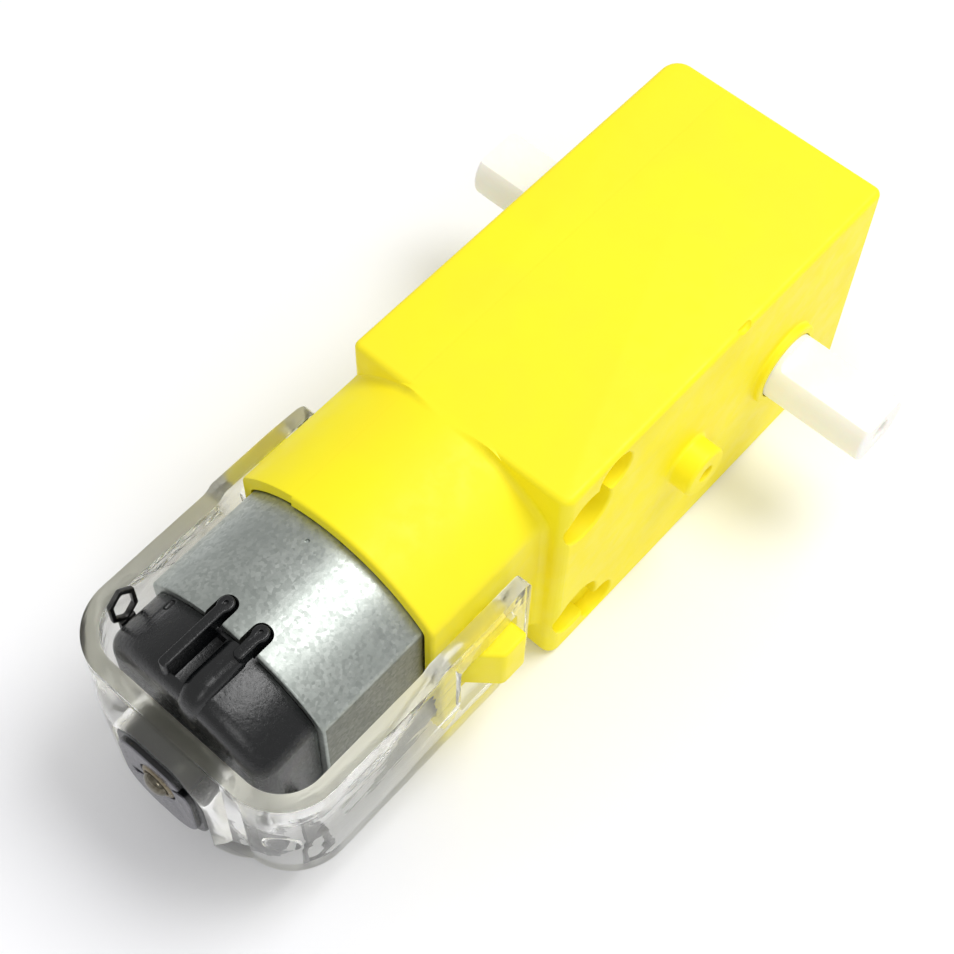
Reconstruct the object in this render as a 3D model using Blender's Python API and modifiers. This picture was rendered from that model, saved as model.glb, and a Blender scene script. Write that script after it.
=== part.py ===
"""Geared dc motor: a small brushed motor clamped to a yellow gearbox block
with an output shaft that leaves the block on both sides.

Metres, +Z up. +X points from the motor to the output end, Y runs along the
output shaft, and the block stands on z = 0. The origin is under the middle of
the whole motor. Train: an 8-tooth pinion turns a 32-tooth crown gear, then
13:32, 15:30 and 13:32, which is 48.5 turns of the motor for one of the shaft.
"""

from math import acos, asin, cos, degrees, pi, radians, sin, tan

import bmesh
import bpy
from mathutils import Matrix, Vector

MM = 0.001

# Driving dimensions of the case.
OVERALL_LENGTH = 63.1 * MM
BLOCK_LENGTH = 34.6 * MM
BLOCK_WIDTH = 18.8 * MM
HEIGHT = 22.5 * MM
NECK_LENGTH = 10.9 * MM
NECK_HALF_WIDTH = 8.56 * MM
WALL = 1.5 * MM
EDGE_RADIUS = 0.5 * MM
HOUSING_CORNER = 0.7 * MM
COVER_CORNER = 1.5 * MM
PARTING_Y = 4.4 * MM
GAP = 0.12 * MM

# Output shaft.
SHAFT_TO_END = 9.35 * MM
SHAFT_SPAN = 36.8 * MM
SHAFT_RADIUS = 2.7 * MM
SHAFT_WAIST_RADIUS = 2.2 * MM
SHAFT_FLATS = 3.7 * MM
SHAFT_SCREW_HOLE = 1.8 * MM
COLLAR_RADIUS = 3.4 * MM
COLLAR_HEIGHT = 0.6 * MM

# Mounting holes, case screws and the round boss on the axle's end.
MOUNT_TO_SHAFT = 22.7 * MM
MOUNT_SPACING = 13.6 * MM
MOUNT_HOLE = 3.0 * MM
MOUNT_COUNTERBORE = 4.6 * MM
MOUNT_COUNTERBORE_DEPTH = 2.0 * MM
NOTCH_TO_SHAFT = 6.6 * MM
NUB_RADIUS = 2.1 * MM
NUB_HEIGHT = 1.9 * MM

# Motor: a can 20.1 across with flats 15.4 apart, set off to the cover side.
MOTOR_Y = 0.8 * MM
MOTOR_Z = HEIGHT / 2
CAN_RADIUS = 10.05 * MM
CAN_HALF_FLATS = 7.7 * MM
CAN_LENGTH = 20.0 * MM
CAN_WALL = 0.8 * MM
CAP_RADIUS = 9.35 * MM
CAP_HALF_FLATS = 7.05 * MM
CAP_LENGTH = 4.9 * MM
MOTOR_SHAFT_RADIUS = 1.0 * MM

# Clear retaining strap.
STRAP_THICKNESS = 1.2 * MM
STRAP_HALF_SPAN = 10.4 * MM
STRAP_CORNER = 4.4 * MM
STRAP_BELOW_AXIS = 5.9 * MM
STRAP_ABOVE_AXIS = 5.35 * MM
ARM_ABOVE_AXIS = 5.95 * MM
ARM_LENGTH = 9.4 * MM
ARM_END_THICKNESS = 0.75 * MM
ARM_END_DROP = 0.25 * MM
ARM_END_CORNER = 1.4 * MM
WINDOW_LENGTH = 5.7 * MM
WINDOW_HALF_HEIGHT = 3.1 * MM
HOOK_REACH = 11.5 * MM
HOOK_FLAT = 2.3 * MM
HOOK_HALF_HEIGHT = 2.25 * MM
ARCH_HALF_WIDTH = 4.2 * MM
ARCH_OFFSET = 0.3 * MM
ARCH_ABOVE_AXIS = 3.4 * MM
ARCH_CORNER = 2.8 * MM
PAD_THICKNESS = 1.3 * MM
PAD_HALF_WIDTH = 5.6 * MM

# Gear train.
MODULE = 0.5 * MM
AXLE_DISTANCE = 11.25 * MM
PRESSURE_ANGLE = radians(20)
BACKLASH = 0.09 * MM
GEAR_RELIEF = 8.7 * MM
SMALL_SHIFT, LARGE_SHIFT = 0.25, 0.4
PINION_TEETH, CROWN_TEETH = 8, 32
FIRST_PINION, SECOND_GEAR = 13, 32
SECOND_PINION, THIRD_GEAR = 15, 30
THIRD_PINION, OUTPUT_GEAR = 13, 32

# Places worked out from the driving dimensions.
END_X = OVERALL_LENGTH / 2
SHAFT_X = END_X - SHAFT_TO_END
AXLE_X = SHAFT_X - AXLE_DISTANCE
MOUNT_X = SHAFT_X - MOUNT_TO_SHAFT
BLOCK_REAR_X = END_X - BLOCK_LENGTH
NECK_REAR_X = BLOCK_REAR_X - NECK_LENGTH
CAN_FRONT_X = BLOCK_REAR_X + 0.1 * MM
CAN_REAR_X = CAN_FRONT_X - CAN_LENGTH
CAP_REAR_X = CAN_REAR_X - CAP_LENGTH
TIP_X = END_X - OVERALL_LENGTH
STRAP_REAR_X = TIP_X + 2.2 * MM
ARM_FRONT_X = NECK_REAR_X + 7.8 * MM
WINDOW_REAR_X = NECK_REAR_X + 0.7 * MM
WINDOW_FRONT_X = WINDOW_REAR_X + WINDOW_LENGTH
AXIS_Z = HEIGHT / 2
SIDE_Y = BLOCK_WIDTH / 2
FLOOR_Y = -SIDE_Y + 1.55 * MM
CEILING_Y = SIDE_Y - WALL
BULKHEAD_X = BLOCK_REAR_X + 0.3 * MM
CAVITY_REAR_X = BULKHEAD_X + 1.6 * MM
CAVITY_END_X = END_X - WALL
SCREWS = (
    (AXLE_X - 7.9 * MM, HEIGHT - 2.6 * MM),
    (AXLE_X - 7.9 * MM, 2.6 * MM),
    (END_X - 2.9 * MM, HEIGHT - 2.9 * MM),
)

# Layers of the train along Y: each pair is (far from the cover, near it).
CROWN_TIP_Y = MOTOR_Y - 1.7 * MM
CROWN_ROOT_Y = MOTOR_Y - 2.825 * MM
CROWN_DISC_Y = (-2.9 * MM, CROWN_ROOT_Y)
FIRST_PINION_Y = (-4.5 * MM, -2.8 * MM)
SECOND_GEAR_Y = (-4.4 * MM, -3.2 * MM)
SECOND_PINION_Y = (-6.05 * MM, -4.3 * MM)
THIRD_GEAR_Y = (-5.95 * MM, -4.75 * MM)
THIRD_PINION_Y = (-7.55 * MM, -5.85 * MM)
OUTPUT_GEAR_Y = (-7.5 * MM, -6.3 * MM)

ROTATIONS = {
    "X": Matrix(((0, 0, 1), (1, 0, 0), (0, 1, 0))).to_4x4(),
    "Y": Matrix.Rotation(-pi / 2, 4, "X"),
    "Z": Matrix.Identity(4),
}


# ---------------------------------------------------------------- scene and materials

def clear_scene():
    for item in list(bpy.data.objects):
        bpy.data.objects.remove(item, do_unlink=True)


def new_collection(name):
    group = bpy.data.collections.new(name)
    bpy.context.scene.collection.children.link(group)
    return group


def new_material(name, colour, roughness, metallic=0.0, alpha=1.0):
    material = bpy.data.materials.new(name)
    material.use_nodes = True
    shader = material.node_tree.nodes["Principled BSDF"]
    shader.inputs["Base Color"].default_value = (*colour, 1.0)
    shader.inputs["Roughness"].default_value = roughness
    shader.inputs["Metallic"].default_value = metallic
    shader.inputs["Alpha"].default_value = alpha
    return material


clear_scene()
PARTS = new_collection("geared_dc_motor")
CUTTERS = new_collection("cutters")
YELLOW = new_material("yellow_plastic", (0.95, 0.78, 0.03), 0.45)
CLEAR = new_material("clear_plastic", (0.9, 0.9, 0.85), 0.12, alpha=0.35)
NYLON = new_material("white_nylon", (0.93, 0.92, 0.86), 0.4)
BLACK = new_material("black_plastic", (0.03, 0.03, 0.032), 0.4)
ZINC = new_material("zinc_steel", (0.62, 0.64, 0.62), 0.35, 1.0)
STEEL = new_material("bright_steel", (0.6, 0.6, 0.58), 0.25, 1.0)
BRONZE = new_material("sintered_bronze", (0.6, 0.42, 0.2), 0.4, 1.0)
COPPER = new_material("copper", (0.75, 0.33, 0.18), 0.3, 1.0)
FERRITE = new_material("ferrite", (0.06, 0.06, 0.065), 0.7)
GEAR_WHITE = new_material("gear_acetal", (0.85, 0.85, 0.82), 0.4)


# ---------------------------------------------------------------- shape helpers

def add_object(name, mesh, material=None, origin=(0, 0, 0)):
    """Link a mesh given in world coordinates, with its origin at the given point."""
    mesh.transform(Matrix.Translation(-Vector(origin)))
    item = bpy.data.objects.new(name, mesh)
    item.location = origin
    if material is None:
        CUTTERS.objects.link(item)
        item.hide_render = True
        item.display_type = "WIRE"
    else:
        PARTS.objects.link(item)
        mesh.materials.append(material)
    return item


def axis_offset(axis, centre):
    """The point where an axis parallel to X, Y or Z crosses the plane through 0."""
    return {"X": (0, *centre), "Y": (centre[0], 0, centre[1]), "Z": (*centre, 0)}[axis]


def box_mesh(low, high):
    shape = bmesh.new()
    bmesh.ops.create_cube(shape, size=1.0)
    size = Vector(high) - Vector(low)
    middle = (Vector(high) + Vector(low)) / 2
    bmesh.ops.scale(shape, vec=size, verts=shape.verts)
    bmesh.ops.translate(shape, vec=middle, verts=shape.verts)
    return finished_mesh(shape)


def rod_mesh(radius, start, stop, axis, centre, segments=32):
    """A cylinder along an axis; centre holds its two other coordinates."""
    shape = bmesh.new()
    length = stop - start
    bmesh.ops.create_cone(
        shape, cap_ends=True, segments=segments, radius1=radius, radius2=radius,
        depth=length)
    bmesh.ops.translate(shape, vec=(0, 0, (start + stop) / 2), verts=shape.verts)
    bmesh.ops.transform(shape, matrix=ROTATIONS[axis], verts=shape.verts)
    bmesh.ops.translate(shape, vec=axis_offset(axis, centre), verts=shape.verts)
    return finished_mesh(shape)


def finished_mesh(shape):
    mesh = bpy.data.meshes.new("shape")
    shape.to_mesh(mesh)
    shape.free()
    return mesh


def face_outward(shape):
    bmesh.ops.recalc_face_normals(shape, faces=shape.faces)
    if shape.calc_volume(signed=True) < 0:
        bmesh.ops.reverse_faces(shape, faces=shape.faces)


def extruded_mesh(outlines, start, stop, axis):
    """A solid of flat outlines (outside first, then holes) from start to stop.

    Outline points are (y, z) for axis X, (x, z) for axis Y and (x, y) for axis Z.
    """
    curve = bpy.data.curves.new("outline", "CURVE")
    curve.dimensions = "2D"
    curve.fill_mode = "BOTH"
    curve.extrude = (stop - start) / 2
    flip = -1 if axis == "Y" else 1
    for outline in outlines:
        spline = curve.splines.new("POLY")
        spline.points.add(len(outline) - 1)
        spline.use_cyclic_u = True
        for point, (u, v) in zip(spline.points, outline):
            point.co = (u, flip * v, 0, 1)
    holder = bpy.data.objects.new("outline", curve)
    CUTTERS.objects.link(holder)
    graph = bpy.context.evaluated_depsgraph_get()
    mesh = bpy.data.meshes.new_from_object(holder.evaluated_get(graph))
    bpy.data.objects.remove(holder, do_unlink=True)
    shape = bmesh.new()
    shape.from_mesh(mesh)
    bmesh.ops.remove_doubles(shape, verts=shape.verts, dist=1e-7)
    face_outward(shape)
    middle = Matrix.Translation((0, 0, (start + stop) / 2))
    bmesh.ops.transform(shape, matrix=ROTATIONS[axis] @ middle, verts=shape.verts)
    mesh.materials.clear()
    shape.to_mesh(mesh)
    shape.free()
    return mesh


def arc(centre, radius, first, last, steps):
    """Points on an arc, from the first angle to the last, in degrees."""
    angles = [radians(first + (last - first) * i / steps) for i in range(steps + 1)]
    return [(centre[0] + radius * cos(a), centre[1] + radius * sin(a)) for a in angles]


def flatted_circle(centre, radius, half_width, steps=14):
    """A circle whose two sides are cut flat at half_width from its centre."""
    reach = 90 - degrees(asin(half_width / radius))
    top = arc(centre, radius, reach, 180 - reach, steps)
    bottom = arc(centre, radius, 180 + reach, 360 - reach, steps)
    return top + bottom


def ring_outline(centre, radius, steps=24):
    return arc(centre, radius, 0, 360 * (steps - 1) / steps, steps - 1)


def boolean(target, operand, operation):
    modifier = target.modifiers.new(operation.lower(), "BOOLEAN")
    modifier.operation = operation
    modifier.object = operand
    modifier.solver = "EXACT"


def cut(target, *meshes):
    for mesh in meshes:
        boolean(target, add_object(target.name + "_cut", mesh), "DIFFERENCE")


def fuse(target, *meshes):
    for mesh in meshes:
        boolean(target, add_object(target.name + "_fuse", mesh), "UNION")


def bevel(target, width, segments=2, angle=50):
    modifier = target.modifiers.new("rounded_edges", "BEVEL")
    modifier.width = width
    modifier.segments = segments
    modifier.limit_method = "ANGLE"
    modifier.angle_limit = radians(angle)


def smooth(target, angle=35):
    target.data.shade_smooth()
    target.data.set_sharp_from_angle(angle=radians(angle))


def turned_mesh(profile, start, axis, centre, steps=32):
    """A turned solid: (radius, distance) pairs along the axis from start."""
    points = [(0.0, profile[0][1])] + list(profile) + [(0.0, profile[-1][1])]
    line = bpy.data.meshes.new("profile")
    vertices = [(radius, 0, start + along) for radius, along in reversed(points)]
    line.from_pydata(vertices, [(i, i + 1) for i in range(len(points) - 1)], [])
    holder = bpy.data.objects.new("profile", line)
    CUTTERS.objects.link(holder)
    screw = holder.modifiers.new("turned", "SCREW")
    screw.steps = steps
    screw.render_steps = steps
    screw.use_merge_vertices = True
    screw.merge_threshold = 1e-6
    graph = bpy.context.evaluated_depsgraph_get()
    mesh = bpy.data.meshes.new_from_object(holder.evaluated_get(graph))
    bpy.data.objects.remove(holder, do_unlink=True)
    mesh.transform(ROTATIONS[axis])
    mesh.transform(Matrix.Translation(axis_offset(axis, centre)))
    return mesh


# ---------------------------------------------------------------- gearbox case

def block_mesh():
    """The plain block, with its two vertical output-end corners rounded."""
    near = arc((END_X - HOUSING_CORNER, HOUSING_CORNER - SIDE_Y), HOUSING_CORNER, -90, 0, 4)
    far = arc((END_X - COVER_CORNER, SIDE_Y - COVER_CORNER), COVER_CORNER, 0, 90, 5)
    outline = near + far + [(BLOCK_REAR_X, SIDE_Y), (BLOCK_REAR_X, -SIDE_Y)]
    return extruded_mesh([outline], 0, HEIGHT, "Z")


def neck_mesh():
    outline = flatted_circle((MOTOR_Y, MOTOR_Z), HEIGHT / 2, NECK_HALF_WIDTH)
    return extruded_mesh([outline], NECK_REAR_X, BLOCK_REAR_X + 1.2 * MM, "X")


def hook_mesh(side):
    """The wedge that the strap's window snaps over; side is -1 or +1."""
    base = MOTOR_Y + side * (NECK_HALF_WIDTH - 0.6 * MM)
    tip = MOTOR_Y + side * HOOK_REACH
    rear = NECK_REAR_X + 1.5 * MM
    front = WINDOW_FRONT_X - 0.25 * MM
    outline = [(rear, base), (front, base), (front, tip), (front - HOOK_FLAT, tip),
               (rear, MOTOR_Y + side * (NECK_HALF_WIDTH + 0.1 * MM))]
    return extruded_mesh([outline], AXIS_Z - HOOK_HALF_HEIGHT, AXIS_Z + HOOK_HALF_HEIGHT, "Z")


def cavity_corner_meshes():
    """Solid corners left round the mounting holes, and the three screw bosses."""
    boss_span = (-SIDE_Y, SIDE_Y)
    meshes = []
    for z in (AXIS_Z - MOUNT_SPACING / 2, AXIS_Z + MOUNT_SPACING / 2):
        outer = 0 if z < AXIS_Z else HEIGHT
        inner = z + (2.8 * MM if z < AXIS_Z else -2.8 * MM)
        low = (CAVITY_REAR_X - 1 * MM, boss_span[0], min(outer, inner))
        high = (MOUNT_X + 2.6 * MM, boss_span[1], max(outer, inner))
        meshes.append(box_mesh(low, high))
    for x, z in SCREWS:
        meshes.append(rod_mesh(1.7 * MM, *boss_span, "Y", (x, z), 20))
    return meshes


def cut_gear_cavity(case):
    inside = box_mesh((CAVITY_REAR_X, FLOOR_Y, WALL),
                      (CAVITY_END_X, CEILING_Y, HEIGHT - WALL))
    cavity = add_object(case.name + "_cavity", inside)
    cut(cavity, *cavity_corner_meshes())
    fuse(cavity, rod_mesh(GEAR_RELIEF, FLOOR_Y - 0.05 * MM, SECOND_GEAR_Y[1] + 0.3 * MM,
                          "Y", (SHAFT_X, AXIS_Z), 48))
    boolean(case, cavity, "DIFFERENCE")


def cut_motor_bore(case):
    bore = flatted_circle((MOTOR_Y, MOTOR_Z), CAN_RADIUS + 0.15 * MM,
                          CAN_HALF_FLATS + 0.12 * MM)
    cut(case, extruded_mesh([bore], NECK_REAR_X - 1 * MM, BULKHEAD_X, "X"),
        rod_mesh(3.3 * MM, BULKHEAD_X - 1 * MM, CAVITY_REAR_X + 1 * MM, "X",
                 (MOTOR_Y, MOTOR_Z), 28))


def cut_side_holes(case):
    """Holes that pass through both halves of the case."""
    reach = (-SIDE_Y - 3 * MM, SIDE_Y + 3 * MM)
    cut(case, rod_mesh(SHAFT_RADIUS + 0.12 * MM, *reach, "Y", (SHAFT_X, AXIS_Z), 32))
    for z in (AXIS_Z - MOUNT_SPACING / 2, AXIS_Z + MOUNT_SPACING / 2):
        cut(case, rod_mesh(MOUNT_HOLE / 2, *reach, "Y", (MOUNT_X, z), 20))
        for side in (-1, 1):
            face = side * SIDE_Y
            floor = face - side * MOUNT_COUNTERBORE_DEPTH
            ends = sorted((floor, face + side * 1 * MM))
            cut(case, rod_mesh(MOUNT_COUNTERBORE / 2, *ends, "Y", (MOUNT_X, z), 24))


def cut_outside_marks(case):
    """Shallow relief beside each mounting hole, and small moulding notches."""
    for z in (AXIS_Z - 9.7 * MM, AXIS_Z + 9.7 * MM):
        cut(case, rod_mesh(1.4 * MM, -SIDE_Y - 1 * MM, -SIDE_Y + 0.6 * MM, "Y",
                           (MOUNT_X + 2.8 * MM, z), 20))
    cut(case, rod_mesh(0.9 * MM, -SIDE_Y - 1 * MM, -SIDE_Y + 0.7 * MM, "Y",
                       (SHAFT_X - NOTCH_TO_SHAFT, HEIGHT + 0.2 * MM), 12))


def shaft_collar_mesh(side):
    ends = sorted((side * (SIDE_Y - 0.4 * MM), side * (SIDE_Y + COLLAR_HEIGHT)))
    return rod_mesh(COLLAR_RADIUS, *ends, "Y", (SHAFT_X, AXIS_Z), 32)


def make_housing():
    """The deep half of the case, on the -Y side, which carries the gears."""
    case = add_object("gearbox_housing", block_mesh(), YELLOW)
    bevel(case, EDGE_RADIUS)
    fuse(case, neck_mesh(), hook_mesh(-1), shaft_collar_mesh(-1),
         rod_mesh(NUB_RADIUS, -SIDE_Y - NUB_HEIGHT, -SIDE_Y + 0.4 * MM, "Y",
                  (AXLE_X, AXIS_Z), 28))
    cut_gear_cavity(case)
    cut_motor_bore(case)
    cut_side_holes(case)
    cut_outside_marks(case)
    cut(case, rod_mesh(1.1 * MM, -SIDE_Y - 0.8 * MM, FLOOR_Y + 1 * MM, "Y",
                       (AXLE_X, AXIS_Z), 16),
        rod_mesh(0.55 * MM, -SIDE_Y - NUB_HEIGHT - 1 * MM,
                 -SIDE_Y - NUB_HEIGHT + 0.6 * MM, "Y", (AXLE_X, AXIS_Z), 12))
    for x, z in SCREWS:
        cut(case, rod_mesh(1.0 * MM, -6.0 * MM, SIDE_Y + 1 * MM, "Y", (x, z), 12))
    far = 30 * MM
    cut(case, box_mesh((-2 * far, PARTING_Y, -far), (2 * far, far, far * 2)))
    smooth(case)
    return case


def make_cover():
    """The shallow half of the case, on the +Y side, held by three screws."""
    case = add_object("gearbox_cover", block_mesh(), YELLOW)
    bevel(case, EDGE_RADIUS)
    fuse(case, neck_mesh(), hook_mesh(1), shaft_collar_mesh(1))
    cut_gear_cavity(case)
    cut_motor_bore(case)
    cut_side_holes(case)
    cut(case, rod_mesh(1.1 * MM, CEILING_Y - 1 * MM, SIDE_Y - 0.5 * MM, "Y",
                       (AXLE_X, AXIS_Z), 16))
    for x, z in SCREWS:
        cut(case, rod_mesh(1.1 * MM, 0, SIDE_Y + 1 * MM, "Y", (x, z), 12),
            rod_mesh(1.9 * MM, SIDE_Y - 1.5 * MM, SIDE_Y + 1 * MM, "Y", (x, z), 20))
    far = 30 * MM
    cut(case, box_mesh((-2 * far, -far, -far), (2 * far, PARTING_Y + GAP, far * 2)))
    smooth(case)
    return case


def make_screws():
    """Self-tapping screws: a pan head with a cross slot, and a pointed body."""
    head_floor = SIDE_Y - 1.5 * MM + 0.1 * MM
    for number, (x, z) in enumerate(SCREWS, start=1):
        profile = [(0.2 * MM, 0), (0.9 * MM, 1.2 * MM), (0.9 * MM, 13.3 * MM),
                   (1.7 * MM, 13.35 * MM), (1.7 * MM, 13.9 * MM), (1.3 * MM, 14.6 * MM)]
        start = head_floor - 13.35 * MM
        screw = add_object("case_screw_%d" % number,
                           turned_mesh(profile, start, "Y", (x, z), 16), STEEL)
        top = start + 14.6 * MM
        for wide, tall in ((0.9, 0.18), (0.18, 0.9)):
            cut(screw, box_mesh((x - wide * MM, top - 0.5 * MM, z - tall * MM),
                                (x + wide * MM, top + 1 * MM, z + tall * MM)))
        smooth(screw)


def make_axle():
    """The steel pin that the crown gear and the third gear turn on."""
    profile = [(0.8 * MM, 0), (1.0 * MM, 0.2 * MM), (1.0 * MM, 18.4 * MM),
               (0.8 * MM, 18.6 * MM)]
    start = -SIDE_Y - 0.6 * MM
    mesh = turned_mesh(profile, start, "Y", (AXLE_X, AXIS_Z), 20)
    axle = add_object("idler_axle", mesh, STEEL)
    smooth(axle)


# ---------------------------------------------------------------- retaining strap

def strap_outline(inset, front_x):
    """The U of the strap, seen from above, drawn in from its outside by inset."""
    side = STRAP_HALF_SPAN - inset
    rear = STRAP_REAR_X + inset
    radius = STRAP_CORNER - inset
    low = arc((rear + radius, MOTOR_Y - side + radius), radius, 270, 180, 7)
    high = arc((rear + radius, MOTOR_Y + side - radius), radius, 180, 90, 7)
    return [(front_x, MOTOR_Y - side)] + low + high + [(front_x, MOTOR_Y + side)]


def arm_mesh(side):
    """One arm: thinner towards its end, and a little higher than the strap's rear."""
    rear = ARM_FRONT_X - ARM_LENGTH
    outer = MOTOR_Y + side * (STRAP_HALF_SPAN - 0.03 * MM)
    outer_end = outer - side * ARM_END_DROP
    outline = [(rear, outer), (ARM_FRONT_X, outer_end),
               (ARM_FRONT_X, outer_end - side * ARM_END_THICKNESS),
               (rear, outer - side * STRAP_THICKNESS)]
    return extruded_mesh([outline], AXIS_Z - STRAP_BELOW_AXIS, AXIS_Z + ARM_ABOVE_AXIS, "Z")


def arm_corner_meshes():
    """What is cut off the arms' four end corners, from the outside inwards."""
    meshes = []
    reach = ARM_END_CORNER
    for end_z, way in ((AXIS_Z - STRAP_BELOW_AXIS, 1), (AXIS_Z + ARM_ABOVE_AXIS, -1)):
        far_z = end_z - way * 1 * MM
        beyond = ARM_FRONT_X + 1 * MM
        outline = [(ARM_FRONT_X - reach, far_z), (ARM_FRONT_X - reach, end_z),
                   (ARM_FRONT_X - 0.3 * reach, end_z + way * 0.3 * reach),
                   (ARM_FRONT_X, end_z + way * reach), (beyond, end_z + way * reach),
                   (beyond, far_z)]
        meshes.append(extruded_mesh([outline], -BLOCK_WIDTH, BLOCK_WIDTH, "Y"))
    return meshes


def rear_pad_mesh(low, high):
    """The thicker part of the rear wall round the arch, sloped in at its sides."""
    middle, face = MOTOR_Y + ARCH_OFFSET, STRAP_REAR_X - PAD_THICKNESS
    slope = PAD_HALF_WIDTH + PAD_THICKNESS
    outline = [(STRAP_REAR_X + 0.5 * MM, middle - slope), (STRAP_REAR_X, middle - slope),
               (face, middle - PAD_HALF_WIDTH), (face, middle + PAD_HALF_WIDTH),
               (STRAP_REAR_X, middle + slope), (STRAP_REAR_X + 0.5 * MM, middle + slope)]
    return extruded_mesh([outline], low, high - 0.8 * MM, "Z")


def make_strap():
    """The strap: a U band, two arms with windows over the hooks, and a rear arch."""
    band_front = ARM_FRONT_X - ARM_LENGTH + 1 * MM
    low, high = AXIS_Z - STRAP_BELOW_AXIS, AXIS_Z + STRAP_ABOVE_AXIS
    outline = (strap_outline(0, band_front)
               + list(reversed(strap_outline(STRAP_THICKNESS, band_front))))
    band = extruded_mesh([outline], low + 0.02 * MM, high, "Z")
    strap = add_object("retaining_strap", band, CLEAR)
    fuse(strap, arm_mesh(-1), arm_mesh(1), rear_pad_mesh(low + 0.1 * MM, high))
    cut(strap, box_mesh((WINDOW_REAR_X, -BLOCK_WIDTH, AXIS_Z - WINDOW_HALF_HEIGHT),
                        (WINDOW_FRONT_X, BLOCK_WIDTH, AXIS_Z + WINDOW_HALF_HEIGHT)),
        *arm_corner_meshes())
    half, crown, radius = ARCH_HALF_WIDTH, AXIS_Z + ARCH_ABOVE_AXIS, ARCH_CORNER
    middle = MOTOR_Y + ARCH_OFFSET
    arch = ([(middle - half, -1 * MM), (middle + half, -1 * MM)]
            + arc((middle + half - radius, crown - radius), radius, 0, 90, 6)
            + arc((middle - half + radius, crown - radius), radius, 90, 180, 6))
    cut(strap, extruded_mesh([arch], STRAP_REAR_X - 3 * MM, STRAP_REAR_X + 3 * MM, "X"))
    bevel(strap, 0.12 * MM, 1, 60)
    smooth(strap)


# ---------------------------------------------------------------- motor, fixed pieces

RIB_OFFSET = 1.5 * MM
LOBE_REACH = 1.2 * MM
LOBE_NOTCH = 0.8 * MM
PLATE_X = CAP_REAR_X - 3.0 * MM
PLATE_HALF_WIDTH = 3.65 * MM
PLATE_CLEARANCE = 0.35 * MM
PLATE_BELOW = 6.1 * MM
PLATE_FOOT_CORNER = 3.2 * MM


def make_can():
    """The drawn steel can, with a boss for the front bushing and two rear notches."""
    middle = (MOTOR_Y, MOTOR_Z)
    outside = extruded_mesh([flatted_circle(middle, CAN_RADIUS, CAN_HALF_FLATS)],
                            CAN_REAR_X, CAN_FRONT_X, "X")
    can = add_object("motor_can", outside, ZINC)
    bevel(can, 0.5 * MM, 2, 60)
    inside = flatted_circle(middle, CAN_RADIUS - CAN_WALL, CAN_HALF_FLATS - CAN_WALL)
    fuse(can, rod_mesh(3.0 * MM, CAN_FRONT_X - 0.4 * MM, CAN_FRONT_X + 1.5 * MM, "X",
                       middle, 28))
    cut(can, extruded_mesh([inside], CAN_REAR_X - 1 * MM, CAN_FRONT_X - CAN_WALL, "X"),
        rod_mesh(2.0 * MM, CAN_FRONT_X - 3 * MM, CAN_FRONT_X + 3 * MM, "X", middle, 24))
    for side in (-1, 1):
        y = MOTOR_Y + side * RIB_OFFSET
        cut(can, box_mesh((CAN_REAR_X - 1 * MM, y - LOBE_NOTCH, MOTOR_Z + 8 * MM),
                          (CAN_REAR_X + LOBE_REACH + LOBE_NOTCH, y + LOBE_NOTCH, HEIGHT)))
    smooth(can)


def rear_plate_outline():
    """The raised plate on the cap's rear, which stands in the strap's arch."""
    low, high = AXIS_Z - PLATE_BELOW, AXIS_Z + ARCH_ABOVE_AXIS - PLATE_CLEARANCE
    near, far = MOTOR_Y - PLATE_HALF_WIDTH, MOTOR_Y + PLATE_HALF_WIDTH
    top, foot = ARCH_CORNER, PLATE_FOOT_CORNER
    return (arc((far - top, high - top), top, 0, 90, 5)
            + arc((near + top, high - top), top, 90, 180, 5)
            + arc((near + foot, low + foot), foot, 180, 270, 5)
            + arc((far - foot, low + foot), foot, 270, 360, 5))


def make_end_cap():
    """The black rear cap: a stepped shell with two ribs and a raised rear plate."""
    middle = (MOTOR_Y, MOTOR_Z)
    outline = flatted_circle(middle, CAP_RADIUS, CAP_HALF_FLATS)
    cap = add_object("motor_end_cap",
                     extruded_mesh([outline], CAP_REAR_X, CAN_REAR_X - GAP, "X"), BLACK)
    bevel(cap, 0.7 * MM, 2, 60)
    spigot = flatted_circle(middle, CAN_RADIUS - CAN_WALL - 0.15 * MM,
                            CAN_HALF_FLATS - CAN_WALL - 0.15 * MM)
    fuse(cap, extruded_mesh([spigot], CAN_REAR_X - 1 * MM, CAN_REAR_X + 1.8 * MM, "X"))
    for side in (-1, 1):
        y = MOTOR_Y + side * RIB_OFFSET
        rib = box_mesh((CAP_REAR_X + 0.5 * MM, y - 0.5 * MM, MOTOR_Z + 8.2 * MM),
                       (CAN_REAR_X + LOBE_REACH, y + 0.5 * MM, MOTOR_Z + 10.35 * MM))
        lobe = rod_mesh(0.5 * MM, MOTOR_Z + 8.2 * MM, MOTOR_Z + 10.35 * MM, "Z",
                        (CAN_REAR_X + LOBE_REACH, y), 14)
        fuse(cap, rib, lobe)
    fuse(cap, extruded_mesh([rear_plate_outline()], PLATE_X, CAP_REAR_X + 0.3 * MM, "X"))
    inner = flatted_circle(middle, 8.0 * MM, 5.9 * MM)
    cut(cap, extruded_mesh([inner], CAP_REAR_X + 1.0 * MM, CAN_REAR_X + 3 * MM, "X"),
        rod_mesh(1.6 * MM, PLATE_X - 1 * MM, CAP_REAR_X + 2 * MM, "X", middle, 24))
    for side in (-1, 1):
        low_y, high_y = sorted((MOTOR_Y + side * 5.0 * MM, MOTOR_Y + side * 8.0 * MM))
        z = MOTOR_Z + side * 2.6 * MM
        cut(cap, box_mesh((CAP_REAR_X + 1.9 * MM, low_y, z - 0.45 * MM),
                          (CAP_REAR_X + 4.1 * MM, high_y, z + 0.45 * MM)))
    smooth(cap)


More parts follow.
